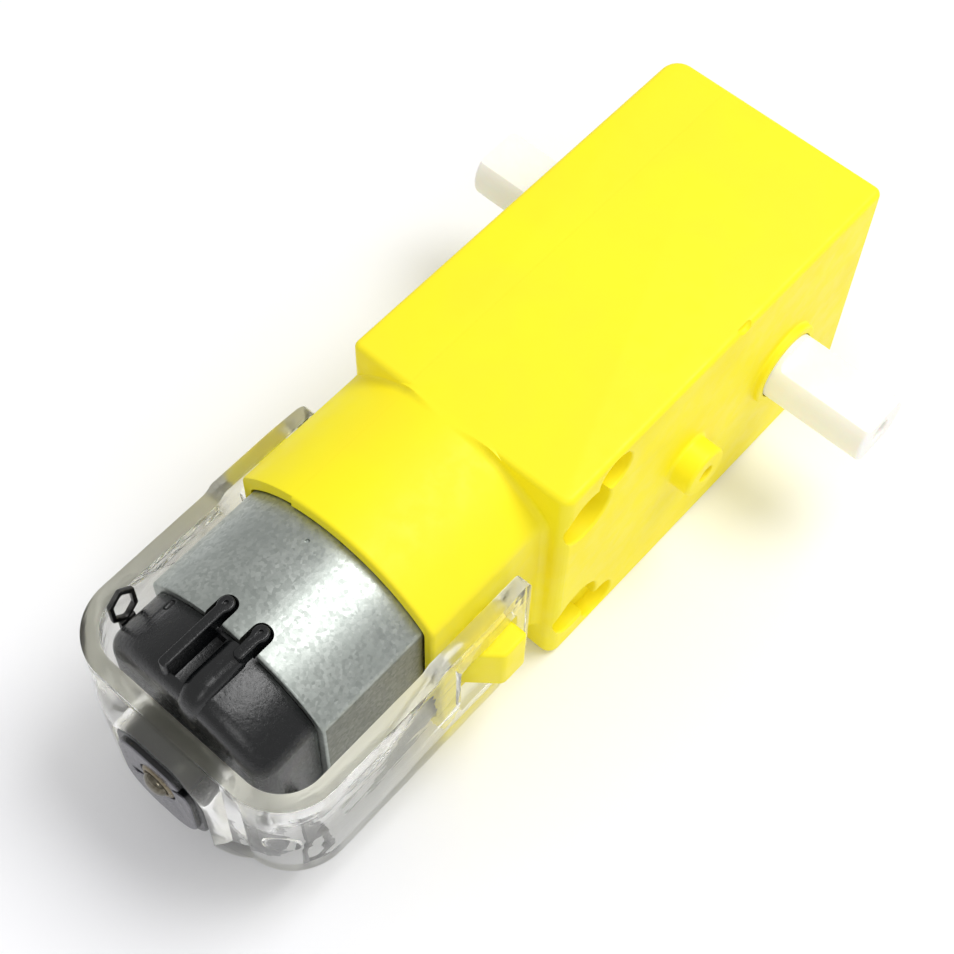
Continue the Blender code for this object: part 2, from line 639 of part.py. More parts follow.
def make_bushings():
    middle = (MOTOR_Y, MOTOR_Z)
    places = {
        "rear_bushing": (1.5 * MM, PLATE_X - 0.15 * MM, PLATE_X + 2.4 * MM),
        "front_bushing": (1.85 * MM, CAN_FRONT_X - 1.0 * MM, CAN_FRONT_X + 1.7 * MM),
    }
    for name, (radius, start, stop) in places.items():
        outlines = [ring_outline(middle, radius), ring_outline(middle, 1.12 * MM)]
        smooth(add_object(name, extruded_mesh(outlines, start, stop, "X"), BRONZE))


def make_magnets():
    """Two ferrite arcs, above and below the armature."""
    outer, inner, spread = 9.05 * MM, 6.75 * MM, 46
    middle = (MOTOR_Y, MOTOR_Z)
    for name, heading in (("magnet_upper", 90), ("magnet_lower", 270)):
        outline = (arc(middle, outer, heading - spread, heading + spread, 10)
                   + arc(middle, inner, heading + spread, heading - spread, 10))
        mesh = extruded_mesh([outline], CAN_REAR_X + 2.6 * MM,
                             CAN_REAR_X + 17.6 * MM, "X")
        smooth(add_object(name, mesh, FERRITE))


def make_magnet_spring():
    """A bowed spring strip that spreads the magnets apart on the cover side."""
    outer, bow, thick = MOTOR_Y + 6.82 * MM, 0.16 * MM, 0.22 * MM
    heights = [-4.3 * MM, -1.6 * MM, 1.6 * MM, 4.3 * MM]
    offsets = [0, bow, bow, 0]
    face = [(outer - o, MOTOR_Z + h) for o, h in zip(offsets, heights)]
    outline = face + [(y - thick, z) for y, z in reversed(face)]
    mesh = extruded_mesh([outline], CAN_REAR_X + 4 * MM, CAN_REAR_X + 15 * MM, "X")
    add_object("magnet_spring", mesh, STEEL)


def make_terminals():
    """Solder lugs: a bent tag with a six-sided eye, turned half round on each side."""
    x = CAP_REAR_X + 3.0 * MM
    for name, side in (("terminal_left", 1), ("terminal_right", -1)):
        eye_z = MOTOR_Z + side * 6.8 * MM
        foot_z = MOTOR_Z + side * 2.6 * MM
        face = MOTOR_Y + side * 7.95 * MM
        eye = [(x + 1.15 * MM * sin(radians(60 * i)),
                eye_z + 1.75 * MM * cos(radians(60 * i))) for i in range(6)]
        hole = [(x + 0.6 * MM * sin(radians(60 * i)),
                 eye_z + 1.05 * MM * cos(radians(60 * i))) for i in range(6)]
        ends = sorted((face, face - side * 0.35 * MM))
        lug = add_object(name, extruded_mesh([eye, hole], *ends, "Y"), STEEL)
        stem = sorted((foot_z - side * 0.15 * MM, eye_z - side * 1.3 * MM))
        fuse(lug, box_mesh((x - 0.6 * MM, ends[0], stem[0]),
                           (x + 0.6 * MM, ends[1], stem[1])))
        inner = MOTOR_Y + side * 5.2 * MM
        across = sorted((face, inner))
        fuse(lug, box_mesh((x - 0.6 * MM, across[0], foot_z - 0.17 * MM),
                           (x + 0.6 * MM, across[1], foot_z + 0.17 * MM)))


def make_brushes():
    """A carbon block on a copper leaf each side of the commutator."""
    x = CAP_REAR_X + 3.0 * MM
    for name, side in (("brush_left", 1), ("brush_right", -1)):
        block = sorted((MOTOR_Y + side * 2.45 * MM, MOTOR_Y + side * 3.9 * MM))
        brush = add_object(name, box_mesh((x - 0.8 * MM, block[0], MOTOR_Z - 0.7 * MM),
                                          (x + 0.8 * MM, block[1], MOTOR_Z + 0.7 * MM)),
                           COPPER)
        leaf = sorted((MOTOR_Y + side * 3.8 * MM, MOTOR_Y + side * 4.1 * MM))
        reach = sorted((MOTOR_Z - side * 0.7 * MM, MOTOR_Z + side * 4.6 * MM))
        fuse(brush, box_mesh((x - 0.6 * MM, leaf[0], reach[0]),
                             (x + 0.6 * MM, leaf[1], reach[1])))


# ---------------------------------------------------------------- motor, turning pieces

CORE_X = (CAN_REAR_X + 5.2 * MM, CAN_REAR_X + 15.0 * MM)
ROTOR_ORIGIN = (CAN_REAR_X, MOTOR_Y, MOTOR_Z)
POLE_ANGLES = (90, 210, 330)


def make_motor_shaft():
    tip = AXLE_X - 6.6 * MM
    length = tip - TIP_X
    profile = [(0.75 * MM, 0), (1.0 * MM, 0.25 * MM), (1.0 * MM, length - 0.3 * MM),
               (0.8 * MM, length)]
    mesh = turned_mesh(profile, TIP_X, "X", (MOTOR_Y, MOTOR_Z), 20)
    smooth(add_object("motor_shaft", mesh, STEEL, ROTOR_ORIGIN))


def pole_outline(bore):
    """The three-pole lamination: hub, webs and shoes, as one closed line."""
    hub, web, shoe, tip, spread = 2.4 * MM, 1.1 * MM, 5.0 * MM, 6.25 * MM, 48
    foot = degrees(asin(web / hub))
    neck = degrees(asin(web / shoe))
    points = []
    for heading in POLE_ANGLES:
        centre = (MOTOR_Y, MOTOR_Z)
        points += arc(centre, hub, heading - 60, heading - foot, 2)[1:]
        points += arc(centre, shoe, heading - neck, heading - spread, 3)
        points += arc(centre, tip, heading - spread, heading + spread, 9)
        points += arc(centre, shoe, heading + spread, heading + neck, 3)
        points += arc(centre, hub, heading + foot, heading + 60, 2)[:-1]
    return [points, ring_outline((MOTOR_Y, MOTOR_Z), bore, 16)]


def make_armature():
    mesh = extruded_mesh(pole_outline(1.12 * MM), *CORE_X, "X")
    smooth(add_object("armature_core", mesh, ZINC, ROTOR_ORIGIN), 25)
    for letter, heading in zip("abc", POLE_ANGLES):
        make_winding("winding_" + letter, heading)


def make_winding(name, heading):
    """A coil wound round one pole web: a rounded box ring."""
    overhang, half = 1.4 * MM, 2.2 * MM
    low, high = 2.7 * MM, 4.3 * MM
    ring = box_mesh((CORE_X[0] - overhang, -half, low), (CORE_X[1] + overhang, half, high))
    turn = Matrix.Translation((0, MOTOR_Y, MOTOR_Z)) @ Matrix.Rotation(
        radians(heading - 90), 4, "X")
    hole = box_mesh((CORE_X[0] - 0.2 * MM, -1.3 * MM, low - 1 * MM),
                    (CORE_X[1] + 0.2 * MM, 1.3 * MM, high + 1 * MM))
    ring.transform(turn)
    hole.transform(turn)
    coil = add_object(name, ring, COPPER, ROTOR_ORIGIN)
    bevel(coil, 0.5 * MM, 2)
    cut(coil, hole)


def make_commutator():
    middle = (MOTOR_Y, MOTOR_Z)
    outlines = [ring_outline(middle, 2.25 * MM), ring_outline(middle, 1.12 * MM, 16)]
    start = CAP_REAR_X + 1.5 * MM
    drum = add_object("commutator", extruded_mesh(outlines, start, start + 4.6 * MM, "X"),
                      COPPER, ROTOR_ORIGIN)
    for heading in (30, 150, 270):
        slot = box_mesh((start - 1 * MM, -0.12 * MM, 1.9 * MM),
                        (start + 3.8 * MM, 0.12 * MM, 3 * MM))
        slot.transform(Matrix.Translation((0, *middle)) @ Matrix.Rotation(
            radians(heading - 90), 4, "X"))
        cut(drum, slot)
    smooth(drum)


# ---------------------------------------------------------------- gears

def involute(angle):
    return tan(angle) - angle


def gear_outline(teeth, shift, centre, tooth_heading, tip_cut=0, backlash=BACKLASH):
    """A spur gear's outline, with two points at the root, pitch and tip of each tooth.

    shift moves the teeth outward and tip_cut shortens them, both in modules;
    tooth_heading is the direction in degrees of the middle of one tooth.
    """
    pitch = MODULE * teeth / 2
    base = pitch * cos(PRESSURE_ANGLE)
    root = pitch - MODULE * (1.25 - shift)
    tip = pitch + MODULE * (1 + shift - tip_cut)
    thickness = MODULE * (pi / 2 + 2 * shift * tan(PRESSURE_ANGLE)) - backlash
    half_at_base = thickness / (2 * pitch) + involute(PRESSURE_ANGLE)

    def half_angle(radius):
        return half_at_base - involute(acos(min(1.0, base / max(radius, base))))

    radii = (root, max(pitch, base), tip)
    points = []
    for tooth in range(teeth):
        heading = radians(tooth_heading) + 2 * pi * tooth / teeth
        rising = [(radius, heading - half_angle(radius)) for radius in radii]
        falling = [(radius, heading + half_angle(radius)) for radius in reversed(radii)]
        for radius, angle in rising + falling:
            points.append((centre[0] + radius * cos(angle),
                           centre[1] + radius * sin(angle)))
    return points


def gap_heading(teeth, towards):
    """The tooth heading that puts the middle of a gap in the given direction."""
    return towards + 180 / teeth


def spur_mesh(teeth, shift, place_x, heading, span, tip_cut=0):
    outline = gear_outline(teeth, shift, (place_x, AXIS_Z), heading, tip_cut)
    return extruded_mesh([outline], *span, "Y")


def crown_tooth_meshes():
    """The crown's teeth: wedges on a ring, facing the motor's pinion."""
    inner, outer = 7.45 * MM, 8.6 * MM
    foot_y, tip_y = CROWN_ROOT_Y - 0.4 * MM, CROWN_TIP_Y
    middle_y = MOTOR_Y - 2.2 * MM
    half = MODULE * pi / 4 - 0.09 * MM
    tip_half = half - (tip_y - middle_y) * tan(PRESSURE_ANGLE)
    foot_half = half + (middle_y - foot_y) * tan(PRESSURE_ANGLE) * 0.7
    outline = [(-foot_half, foot_y), (foot_half, foot_y), (tip_half, tip_y),
               (-tip_half, tip_y)]
    teeth = []
    for number in range(CROWN_TEETH):
        heading = pi + 2 * pi * (number + 0.5) / CROWN_TEETH
        tooth = extruded_mesh([[(z, y) for z, y in outline]], inner, outer, "Z")
        tooth.transform(Matrix(((0, 0, 1, 0), (0, 1, 0, 0), (-1, 0, 0, 0), (0, 0, 0, 1))))
        tooth.transform(Matrix.Translation((AXLE_X, 0, AXIS_Z))
                        @ Matrix.Rotation(heading, 4, "Y"))
        teeth.append(tooth)
    return teeth


def joined(meshes):
    """One mesh that holds several separate closed shapes."""
    shape = bmesh.new()
    for mesh in meshes:
        shape.from_mesh(mesh)
    return finished_mesh(shape)


def make_crown_gear():
    """Crown gear with the first pinion below it and a long hub above it."""
    centre = (AXLE_X, AXIS_Z)
    disc = rod_mesh(8.7 * MM, *CROWN_DISC_Y, "Y", centre, 64)
    gear = add_object("crown_gear", disc, GEAR_WHITE, (AXLE_X, 0, AXIS_Z))
    cut(gear, rod_mesh(7.2 * MM, CROWN_ROOT_Y - 0.4 * MM, CROWN_ROOT_Y + 1 * MM, "Y",
                       centre, 48))
    fuse(gear, joined(crown_tooth_meshes()),
         rod_mesh(2.0 * MM, -2.5 * MM, CEILING_Y - 0.3 * MM, "Y", centre, 24),
         spur_mesh(FIRST_PINION, SMALL_SHIFT, AXLE_X, 0, FIRST_PINION_Y, 0.1))
    cut(gear, rod_mesh(1.12 * MM, -20 * MM, 20 * MM, "Y", centre, 20))
    smooth(gear, 20)


def make_second_gear():
    """The loose pair that turns on the output shaft."""
    gap = gap_heading(SECOND_GEAR, 180)
    gear = add_object("second_gear", spur_mesh(SECOND_GEAR, -SMALL_SHIFT, SHAFT_X, gap,
                                               SECOND_GEAR_Y),
                      GEAR_WHITE, (SHAFT_X, 0, AXIS_Z))
    fuse(gear, spur_mesh(SECOND_PINION, LARGE_SHIFT, SHAFT_X, 180, SECOND_PINION_Y, 0.2))
    cut(gear, rod_mesh(SHAFT_RADIUS + 0.12 * MM, -20 * MM, 20 * MM, "Y",
                       (SHAFT_X, AXIS_Z), 32))
    smooth(gear, 20)


def make_third_gear():
    """The last idler pair, back on the steel pin."""
    gap = gap_heading(THIRD_GEAR, 0)
    gear = add_object("third_gear", spur_mesh(THIRD_GEAR, -LARGE_SHIFT, AXLE_X, gap,
                                              THIRD_GEAR_Y),
                      GEAR_WHITE, (AXLE_X, 0, AXIS_Z))
    fuse(gear, spur_mesh(THIRD_PINION, SMALL_SHIFT, AXLE_X, 0, THIRD_PINION_Y, 0.1))
    cut(gear, rod_mesh(1.12 * MM, -20 * MM, 20 * MM, "Y", (AXLE_X, AXIS_Z), 20))
    smooth(gear, 20)


def make_output_shaft():
    """Output gear and double-flatted shaft, moulded in one piece."""
    half = SHAFT_SPAN / 2
    gear_face = OUTPUT_GEAR_Y[0] - 0.15 * MM
    profile = [(2.4 * MM, 0), (SHAFT_RADIUS, 0.3 * MM),
               (SHAFT_RADIUS, gear_face + half), (3.3 * MM, gear_face + half),
               (3.3 * MM, OUTPUT_GEAR_Y[1] + half), (SHAFT_RADIUS, OUTPUT_GEAR_Y[1] + half),
               (SHAFT_RADIUS, half - 3.05 * MM), (SHAFT_WAIST_RADIUS, half - 3.0 * MM),
               (SHAFT_WAIST_RADIUS, half - 0.5 * MM), (SHAFT_RADIUS, half - 0.45 * MM),
               (SHAFT_RADIUS, 2 * half - 0.3 * MM), (2.4 * MM, 2 * half)]
    body = turned_mesh(profile, -half, "Y", (SHAFT_X, AXIS_Z), 32)
    shaft = add_object("output_shaft", body, NYLON, (SHAFT_X, 0, AXIS_Z))
    gap = gap_heading(OUTPUT_GEAR, 180)
    fuse(shaft, spur_mesh(OUTPUT_GEAR, -SMALL_SHIFT, SHAFT_X, gap, OUTPUT_GEAR_Y))
    for side in (-1, 1):
        outer, inner = side * (half + 1 * MM), side * (SIDE_Y + COLLAR_HEIGHT + 0.3 * MM)
        ends = sorted((outer, inner))
        for low, high in ((SHAFT_FLATS / 2, 5 * MM), (-5 * MM, -SHAFT_FLATS / 2)):
            cut(shaft, box_mesh((SHAFT_X - 5 * MM, ends[0], AXIS_Z + low),
                                (SHAFT_X + 5 * MM, ends[1], AXIS_Z + high)))
        hole = sorted((outer, side * (half - 6 * MM)))
        cut(shaft, rod_mesh(SHAFT_SCREW_HOLE / 2, *hole, "Y", (SHAFT_X, AXIS_Z), 16))
    smooth(shaft, 20)


def make_motor_pinion():
    """Eight teeth on the motor shaft; one tooth points at the crown gear."""
    centre = (MOTOR_Y, MOTOR_Z)
    outline = gear_outline(PINION_TEETH, LARGE_SHIFT, centre, 180, 0.4, 0.16 * MM)
    bore = ring_outline(centre, 1.12 * MM, 16)
    mesh = extruded_mesh([outline, bore], AXLE_X - 9.3 * MM, AXLE_X - 6.9 * MM, "X")
    smooth(add_object("motor_pinion", mesh, BRONZE, ROTOR_ORIGIN), 20)


def main():
    make_housing()
    make_cover()
    make_screws()
    make_axle()
    make_strap()
    make_can()
    make_end_cap()
    make_bushings()
    make_magnets()
    make_magnet_spring()
    make_terminals()
    make_brushes()
    make_motor_shaft()
    make_armature()
    make_commutator()
    make_motor_pinion()
    make_crown_gear()
    make_second_gear()
    make_third_gear()
    make_output_shaft()


main()
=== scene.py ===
"""Looks for the geared dc motor: fine meshes and procedural materials.

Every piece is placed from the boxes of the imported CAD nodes, in metres, +Z up.
+X points from the motor to the output end and Y runs along the output shaft.
"""

from math import acos, atan2, cos, degrees, pi, radians, sin, sqrt, tan

import bmesh
import bpy
from mathutils import Matrix, Vector


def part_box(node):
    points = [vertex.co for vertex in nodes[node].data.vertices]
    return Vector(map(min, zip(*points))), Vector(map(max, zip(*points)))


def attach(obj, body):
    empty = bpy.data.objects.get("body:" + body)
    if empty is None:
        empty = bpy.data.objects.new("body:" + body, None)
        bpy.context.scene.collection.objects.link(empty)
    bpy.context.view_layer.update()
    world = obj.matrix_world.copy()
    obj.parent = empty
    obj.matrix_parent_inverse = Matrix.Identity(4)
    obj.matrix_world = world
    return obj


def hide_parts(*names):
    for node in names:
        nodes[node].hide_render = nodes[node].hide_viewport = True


MM = 0.001
CLEAR = 1 * MM            # how far a cutter stands past the face that it opens
SLIVER = 0.004 * MM       # keeps two faces out of one plane

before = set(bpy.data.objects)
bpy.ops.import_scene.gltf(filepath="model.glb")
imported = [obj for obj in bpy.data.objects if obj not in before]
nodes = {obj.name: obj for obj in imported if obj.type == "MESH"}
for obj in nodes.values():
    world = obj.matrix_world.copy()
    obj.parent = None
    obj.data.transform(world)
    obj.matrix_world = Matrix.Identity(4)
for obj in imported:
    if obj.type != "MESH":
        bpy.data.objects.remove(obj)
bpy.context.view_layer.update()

# ------ places, from the frame

case_low, case_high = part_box("gearbox_housing")
shaft_low, shaft_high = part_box("output_shaft")
axle_low, axle_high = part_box("idler_axle")
can_low, can_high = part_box("motor_can")
strap_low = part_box("retaining_strap")[0]
rotor_low, rotor_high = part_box("motor_shaft")

COLLAR_HEIGHT = 0.6 * MM
NUB_HEIGHT = 1.9 * MM
NECK_LENGTH = 10.9 * MM
CAP_DEPTH = 4.9 * MM
PLATE_HEIGHT = 3.0 * MM
MOUNT_REACH = 22.7 * MM
MOUNT_RISE = 6.8 * MM

END_X = case_high.x
NECK_REAR_X = case_low.x
BLOCK_REAR_X = NECK_REAR_X + NECK_LENGTH
HEIGHT = case_high.z
AXIS_Z = HEIGHT / 2
SIDE_Y = -case_low.y - NUB_HEIGHT
PARTING_Y = case_high.y
SHAFT_X = (shaft_low.x + shaft_high.x) / 2
AXLE_X = (axle_low.x + axle_high.x) / 2
MOTOR_Y = (can_low.y + can_high.y) / 2
MOTOR_Z = AXIS_Z
CAN_REAR_X = can_low.x
CAN_FRONT_X = BLOCK_REAR_X + 0.1 * MM
CAP_REAR_X = CAN_REAR_X - CAP_DEPTH
PLATE_X = CAP_REAR_X - PLATE_HEIGHT
MOUNT_X = SHAFT_X - MOUNT_REACH
MOTOR_AXIS = (MOTOR_Y, MOTOR_Z)
OUTPUT_AXIS = (SHAFT_X, AXIS_Z)
AXLE_AXIS = (AXLE_X, AXIS_Z)

WALL = 1.5 * MM
FLOOR_Y = -SIDE_Y + 1.55 * MM
CEILING_Y = SIDE_Y - WALL
CAVITY_REAR_X = BLOCK_REAR_X + 1.9 * MM
REAR_SCREW_X = AXLE_X - 7.9 * MM
REAR_SCREW_INSET = 2.6 * MM
FRONT_SCREW_INSET = 2.9 * MM
SCREWS = (
    (REAR_SCREW_X, HEIGHT - REAR_SCREW_INSET),
    (REAR_SCREW_X, REAR_SCREW_INSET),
    (END_X - FRONT_SCREW_INSET, HEIGHT - FRONT_SCREW_INSET),
)
MOUNTS = (AXIS_Z - MOUNT_RISE, AXIS_Z + MOUNT_RISE)

# Where an outline's u, v and distance along the axis go: y, z, x on "X"; x, z, y on "Y".
AXES = {
    "X": Matrix(((0, 0, 1), (1, 0, 0), (0, 1, 0))).to_4x4(),
    "Y": Matrix(((1, 0, 0), (0, 0, 1), (0, 1, 0))).to_4x4(),
    "Z": Matrix.Identity(4),
}


# ------ outlines

def arc(centre, radius, first, last, steps):
    """Points on an arc, from the first angle to the last, in degrees."""
    angles = [radians(first + (last - first) * i / steps) for i in range(steps + 1)]
    return [(centre[0] + radius * cos(a), centre[1] + radius * sin(a)) for a in angles]


def circle(centre, radius, steps=48):
    return arc(centre, radius, 0, 360 * (steps - 1) / steps, steps - 1)


def filleted(corners, steps=6):
    """A closed outline from (u, v, radius) corners, each rounded to its radius."""
    points = []
    count = len(corners)
    for i, (u, v, radius) in enumerate(corners):
        here = Vector((u, v))
        before = (Vector(corners[i - 1][:2]) - here).normalized()
        after = (Vector(corners[(i + 1) % count][:2]) - here).normalized()
        if radius <= 0:
            points.append((u, v))
            continue
        half = before.angle(after) / 2
        middle = here + (before + after).normalized() * radius / sin(half)
        start = here + before * radius / tan(half) - middle
        stop = here + after * radius / tan(half) - middle
        sweep = start.angle_signed(stop)
        for k in range(steps + 1):
            turn = Matrix.Rotation(-sweep * k / steps, 2)
            points.append(tuple(middle + turn @ start))
    return points


def flatted_circle(radius, half_width, corner, steps=28, corner_steps=5):
    """A circle round the motor's axis with two flat sides and rounded corners."""
    reach = half_width - corner
    rise = sqrt((radius - corner) ** 2 - reach ** 2)
    tilt = degrees(atan2(rise, reach))
    y, z = MOTOR_AXIS
    upper = (arc((y + reach, z + rise), corner, 0, tilt, corner_steps)
             + arc(MOTOR_AXIS, radius, tilt, 180 - tilt, steps)[1:-1]
             + arc((y - reach, z + rise), corner, 180 - tilt, 180, corner_steps))
    lower = [(2 * y - u, 2 * z - v) for u, v in upper]
    return upper + lower


def offset(points, distance):
    """The outline moved outward by the distance, with mitred corners."""
    count = len(points)
    area = sum(points[i - 1][0] * points[i][1] - points[i][0] * points[i - 1][1]
               for i in range(count))
    sign = 1 if area > 0 else -1
    moved = []
    for i, point in enumerate(points):
        here = Vector(point)
        into = (here - Vector(points[i - 1])).normalized()
        out = (Vector(points[(i + 1) % count]) - here).normalized()
        first = Vector((into.y, -into.x)) * sign
        second = Vector((out.y, -out.x)) * sign
        share = 1 + first.dot(second)
        moved.append(tuple(here + (first + second) * distance / max(share, 0.3)))
    return moved


# ------ solids

def mesh_from(shape):
    """A mesh of the shape, with its faces turned outward."""
    bmesh.ops.recalc_face_normals(shape, faces=shape.faces)
    if shape.calc_volume(signed=True) < 0:
        bmesh.ops.reverse_faces(shape, faces=shape.faces)
    mesh = bpy.data.meshes.new("shape")
    shape.to_mesh(mesh)
    shape.free()
    return mesh


def loft(rings, axis="Z", centre=(0, 0)):
    """A closed solid through rings of (points, distance along the axis)."""
    shape = bmesh.new()
    previous = None
    for points, along in rings:
        ring = [shape.verts.new((u, v, along)) for u, v in points]
        if previous is None:
            shape.faces.new(ring)
        else:
            count = len(ring)
            for i in range(count):
                shape.faces.new((previous[i - 1], previous[i], ring[i], ring[i - 1]))
        previous = ring
    shape.faces.new(previous)
    bmesh.ops.transform(shape, matrix=AXES[axis], verts=shape.verts)
    shift = {"X": (0, *centre), "Y": (centre[0], 0, centre[1]), "Z": (*centre, 0)}[axis]
    bmesh.ops.translate(shape, vec=shift, verts=shape.verts)
    return mesh_from(shape)


def rounded_end(size, steps):
    """(inset, distance from the end) pairs; a negative size flares outward."""
    if not size:
        return [(0, 0)]
    turns = [radians(90 * i / steps) for i in range(steps + 1)]
    return [(size * (1 - sin(turn)), abs(size) * (1 - cos(turn))) for turn in turns]


def prism(outline, start, stop, axis, start_round=0, stop_round=0, steps=5):
    """An extruded outline. A positive round softens an end, a negative one flares it."""
    rings = [(offset(outline, -inset), start + depth)
             for inset, depth in rounded_end(start_round, steps)]
    tail = [(offset(outline, -inset), stop - depth)
            for inset, depth in rounded_end(stop_round, steps)]
    return loft(rings + tail[::-1], axis)


def turned(profile, axis, centre, steps=64):
    """A turned solid from (radius, place along the axis) pairs."""
    rings = [(circle((0, 0), max(radius, 0.01 * MM), steps), along)
             for radius, along in profile]
    return loft(rings, axis, centre)


def block(low, high):
    """A box between two corners."""
    outline = [(low[0], low[1]), (high[0], low[1]), (high[0], high[1]), (low[0], high[1])]
    return loft([(outline, low[2]), (outline, high[2])])


def rod(radius, start, stop, axis, centre, steps=48):
    return turned([(radius, start), (radius, stop)], axis, centre, steps)


def soft_profile(radius, start, stop, start_round, stop_round, steps=5):
    """Profile of a rod whose ends are rounded (positive) or flared (negative)."""
    first = [(radius - inset, start + depth)
             for inset, depth in rounded_end(start_round, steps)]
    last = [(radius - inset, stop - depth)
            for inset, depth in rounded_end(stop_round, steps)]
    return first + last[::-1]


def rounded_rod(radius, start, stop, axis, centre, start_round, stop_round, steps=48):
    return turned(soft_profile(radius, start, stop, start_round, stop_round), axis, centre,
                  steps)


def well(radius, face, depth, way, axis, centre, lip, steps=48):
    """A cutter for a hole that opens at a face with a rounded lip; way points inward."""
    profile = [(radius + lip, face - way * CLEAR)]
    profile += [(radius + inset, face + way * along) for inset, along in rounded_end(lip, 6)]
    profile.append((radius, face + way * depth))
    if way < 0:
        profile = profile[::-1]
    return turned(profile, axis, centre, steps)


def solid(name, mesh):
    item = bpy.data.objects.new(name, mesh)
    bpy.context.scene.collection.objects.link(item)
    return item


def combine(item, adds=(), cuts=()):
    """Join the added meshes to the piece, then cut it by the others, and apply both."""
    helpers = []
    for operation, meshes in (("UNION", adds), ("DIFFERENCE", cuts)):
        for mesh in meshes:
            helper = solid("helper", mesh)
            helpers.append(helper)
            modifier = item.modifiers.new("shape", "BOOLEAN")
            modifier.operation = operation
            modifier.object = helper
            modifier.solver = "EXACT"
    graph = bpy.context.evaluated_depsgraph_get()
    mesh = bpy.data.meshes.new_from_object(item.evaluated_get(graph))
    item.modifiers.clear()
    item.data = mesh
    for helper in helpers:
        bpy.data.objects.remove(helper, do_unlink=True)
    return item


def soften(item, width, segments=3, angle=40):
    """Round the edges that are sharper than the angle, in degrees."""
    modifier = item.modifiers.new("edges", "BEVEL")
    modifier.width = width
    modifier.segments = segments
    modifier.limit_method = "ANGLE"
    modifier.angle_limit = radians(angle)
    modifier.use_clamp_overlap = True
    return combine(item)


def show(item, slot, body, node, angle=38):
    """Finish a piece: material, shading, record slot, body and the node it stands for."""
    item.data.materials.clear()
    item.data.materials.append(MATERIALS[slot])
    item.data.shade_smooth()
    item.data.set_sharp_from_angle(angle=radians(angle))
    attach(item, body)
    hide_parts(node)


# ------ materials

class Shader:
    """A small helper that wires procedural nodes into a Principled shader."""

    def __init__(self, name, colour, roughness, metallic=0.0, **sockets):
        self.material = bpy.data.materials.new(name)
        self.material.use_nodes = True
        self.tree = self.material.node_tree
        self.main = self.tree.nodes["Principled BSDF"]
        self.put("Base Color", (*colour, 1.0))
        self.put("Roughness", roughness)
        self.put("Metallic", metallic)
        for socket, value in sockets.items():
            self.put(socket.replace("_", " "), value)
        place = self.tree.nodes.new("ShaderNodeTexCoord")
        self.place = place.outputs["Object"]
        self.normal = place.outputs["Normal"]
        self.relief = None

    def put(self, socket, value):
        self.main.inputs[socket].default_value = value

    def link(self, source, target):
        self.tree.links.new(source, target)

    def noise(self, size, detail=3.0, roughness=0.55, stretch=(1, 1, 1), distortion=0.0):
        """Noise whose features are about size metres across."""
        mapping = self.tree.nodes.new("ShaderNodeMapping")
        mapping.inputs["Scale"].default_value = [1 / s for s in stretch]
        self.link(self.place, mapping.inputs["Vector"])
        node = self.tree.nodes.new("ShaderNodeTexNoise")
        node.inputs["Scale"].default_value = 1 / size
        node.inputs["Detail"].default_value = detail
        node.inputs["Roughness"].default_value = roughness
        node.inputs["Distortion"].default_value = distortion
        self.link(mapping.outputs["Vector"], node.inputs["Vector"])
        return node.outputs["Fac"]

    def cells(self, size):
        """A random colour for each cell, with cells about size metres across."""
        node = self.tree.nodes.new("ShaderNodeTexVoronoi")
        node.inputs["Scale"].default_value = 1 / size
        self.link(self.place, node.inputs["Vector"])
        return node.outputs["Color"]

    def ramp(self, source, low, high, start=0.0, stop=1.0):
        """Map a value from low..high to start..stop, smoothly."""
        node = self.tree.nodes.new("ShaderNodeMapRange")
        node.interpolation_type = "SMOOTHSTEP"
        for key, value in (("From Min", low), ("From Max", high),
                           ("To Min", start), ("To Max", stop)):
            node.inputs[key].default_value = value
        self.link(source, node.inputs["Value"])
        return node.outputs["Result"]

    def blend(self, factor, first, second):
        """A colour between two fixed ones."""
        node = self.tree.nodes.new("ShaderNodeMix")
        node.data_type = "RGBA"
        node.inputs["A"].default_value = (*first, 1.0)
        node.inputs["B"].default_value = (*second, 1.0)
        self.link(factor, node.inputs["Factor"])
        return node.outputs["Result"]

    def multiply(self, first, second):
        node = self.tree.nodes.new("ShaderNodeMath")
        node.operation = "MULTIPLY"
        self.link(first, node.inputs[0])
        self.link(second, node.inputs[1])
        return node.outputs["Value"]

    def tint(self, first, second):
        """One colour multiplied by another."""
        node = self.tree.nodes.new("ShaderNodeMix")
        node.data_type = "RGBA"
        node.blend_type = "MULTIPLY"
        node.inputs["Factor"].default_value = 1.0
        self.link(first, node.inputs["A"])
        self.link(second, node.inputs["B"])
        return node.outputs["Result"]

    def colour(self, factor, first, second):
        """Let the factor carry the base colour from the first to the second."""
        self.link(self.blend(factor, first, second), self.main.inputs["Base Color"])

    def rough(self, factor, low, high):
        """Let a noise factor carry the roughness from low to high."""
        self.link(self.ramp(factor, 0.3, 0.7, low, high), self.main.inputs["Roughness"])

    def bump(self, factor, depth, strength=1.0):
        """Relief of the given depth in metres; calls stack."""
        node = self.tree.nodes.new("ShaderNodeBump")
        node.inputs["Strength"].default_value = strength
        node.inputs["Distance"].default_value = depth
        self.link(factor, node.inputs["Height"])
        if self.relief is not None:
            self.link(self.relief, node.inputs["Normal"])
        self.relief = node.outputs["Normal"]
        self.link(self.relief, self.main.inputs["Normal"])

    def along(self, axis, source):
        """One component of a vector."""
        node = self.tree.nodes.new("ShaderNodeSeparateXYZ")
        self.link(source, node.inputs[0])
        return node.outputs[axis]

    def facing(self, axis):
        """How far the surface faces along the axis, either way, from 0 to 1."""
        size = self.tree.nodes.new("ShaderNodeMath")
        size.operation = "ABSOLUTE"
        self.link(self.along(axis, self.normal), size.inputs[0])
        return size.outputs["Value"]


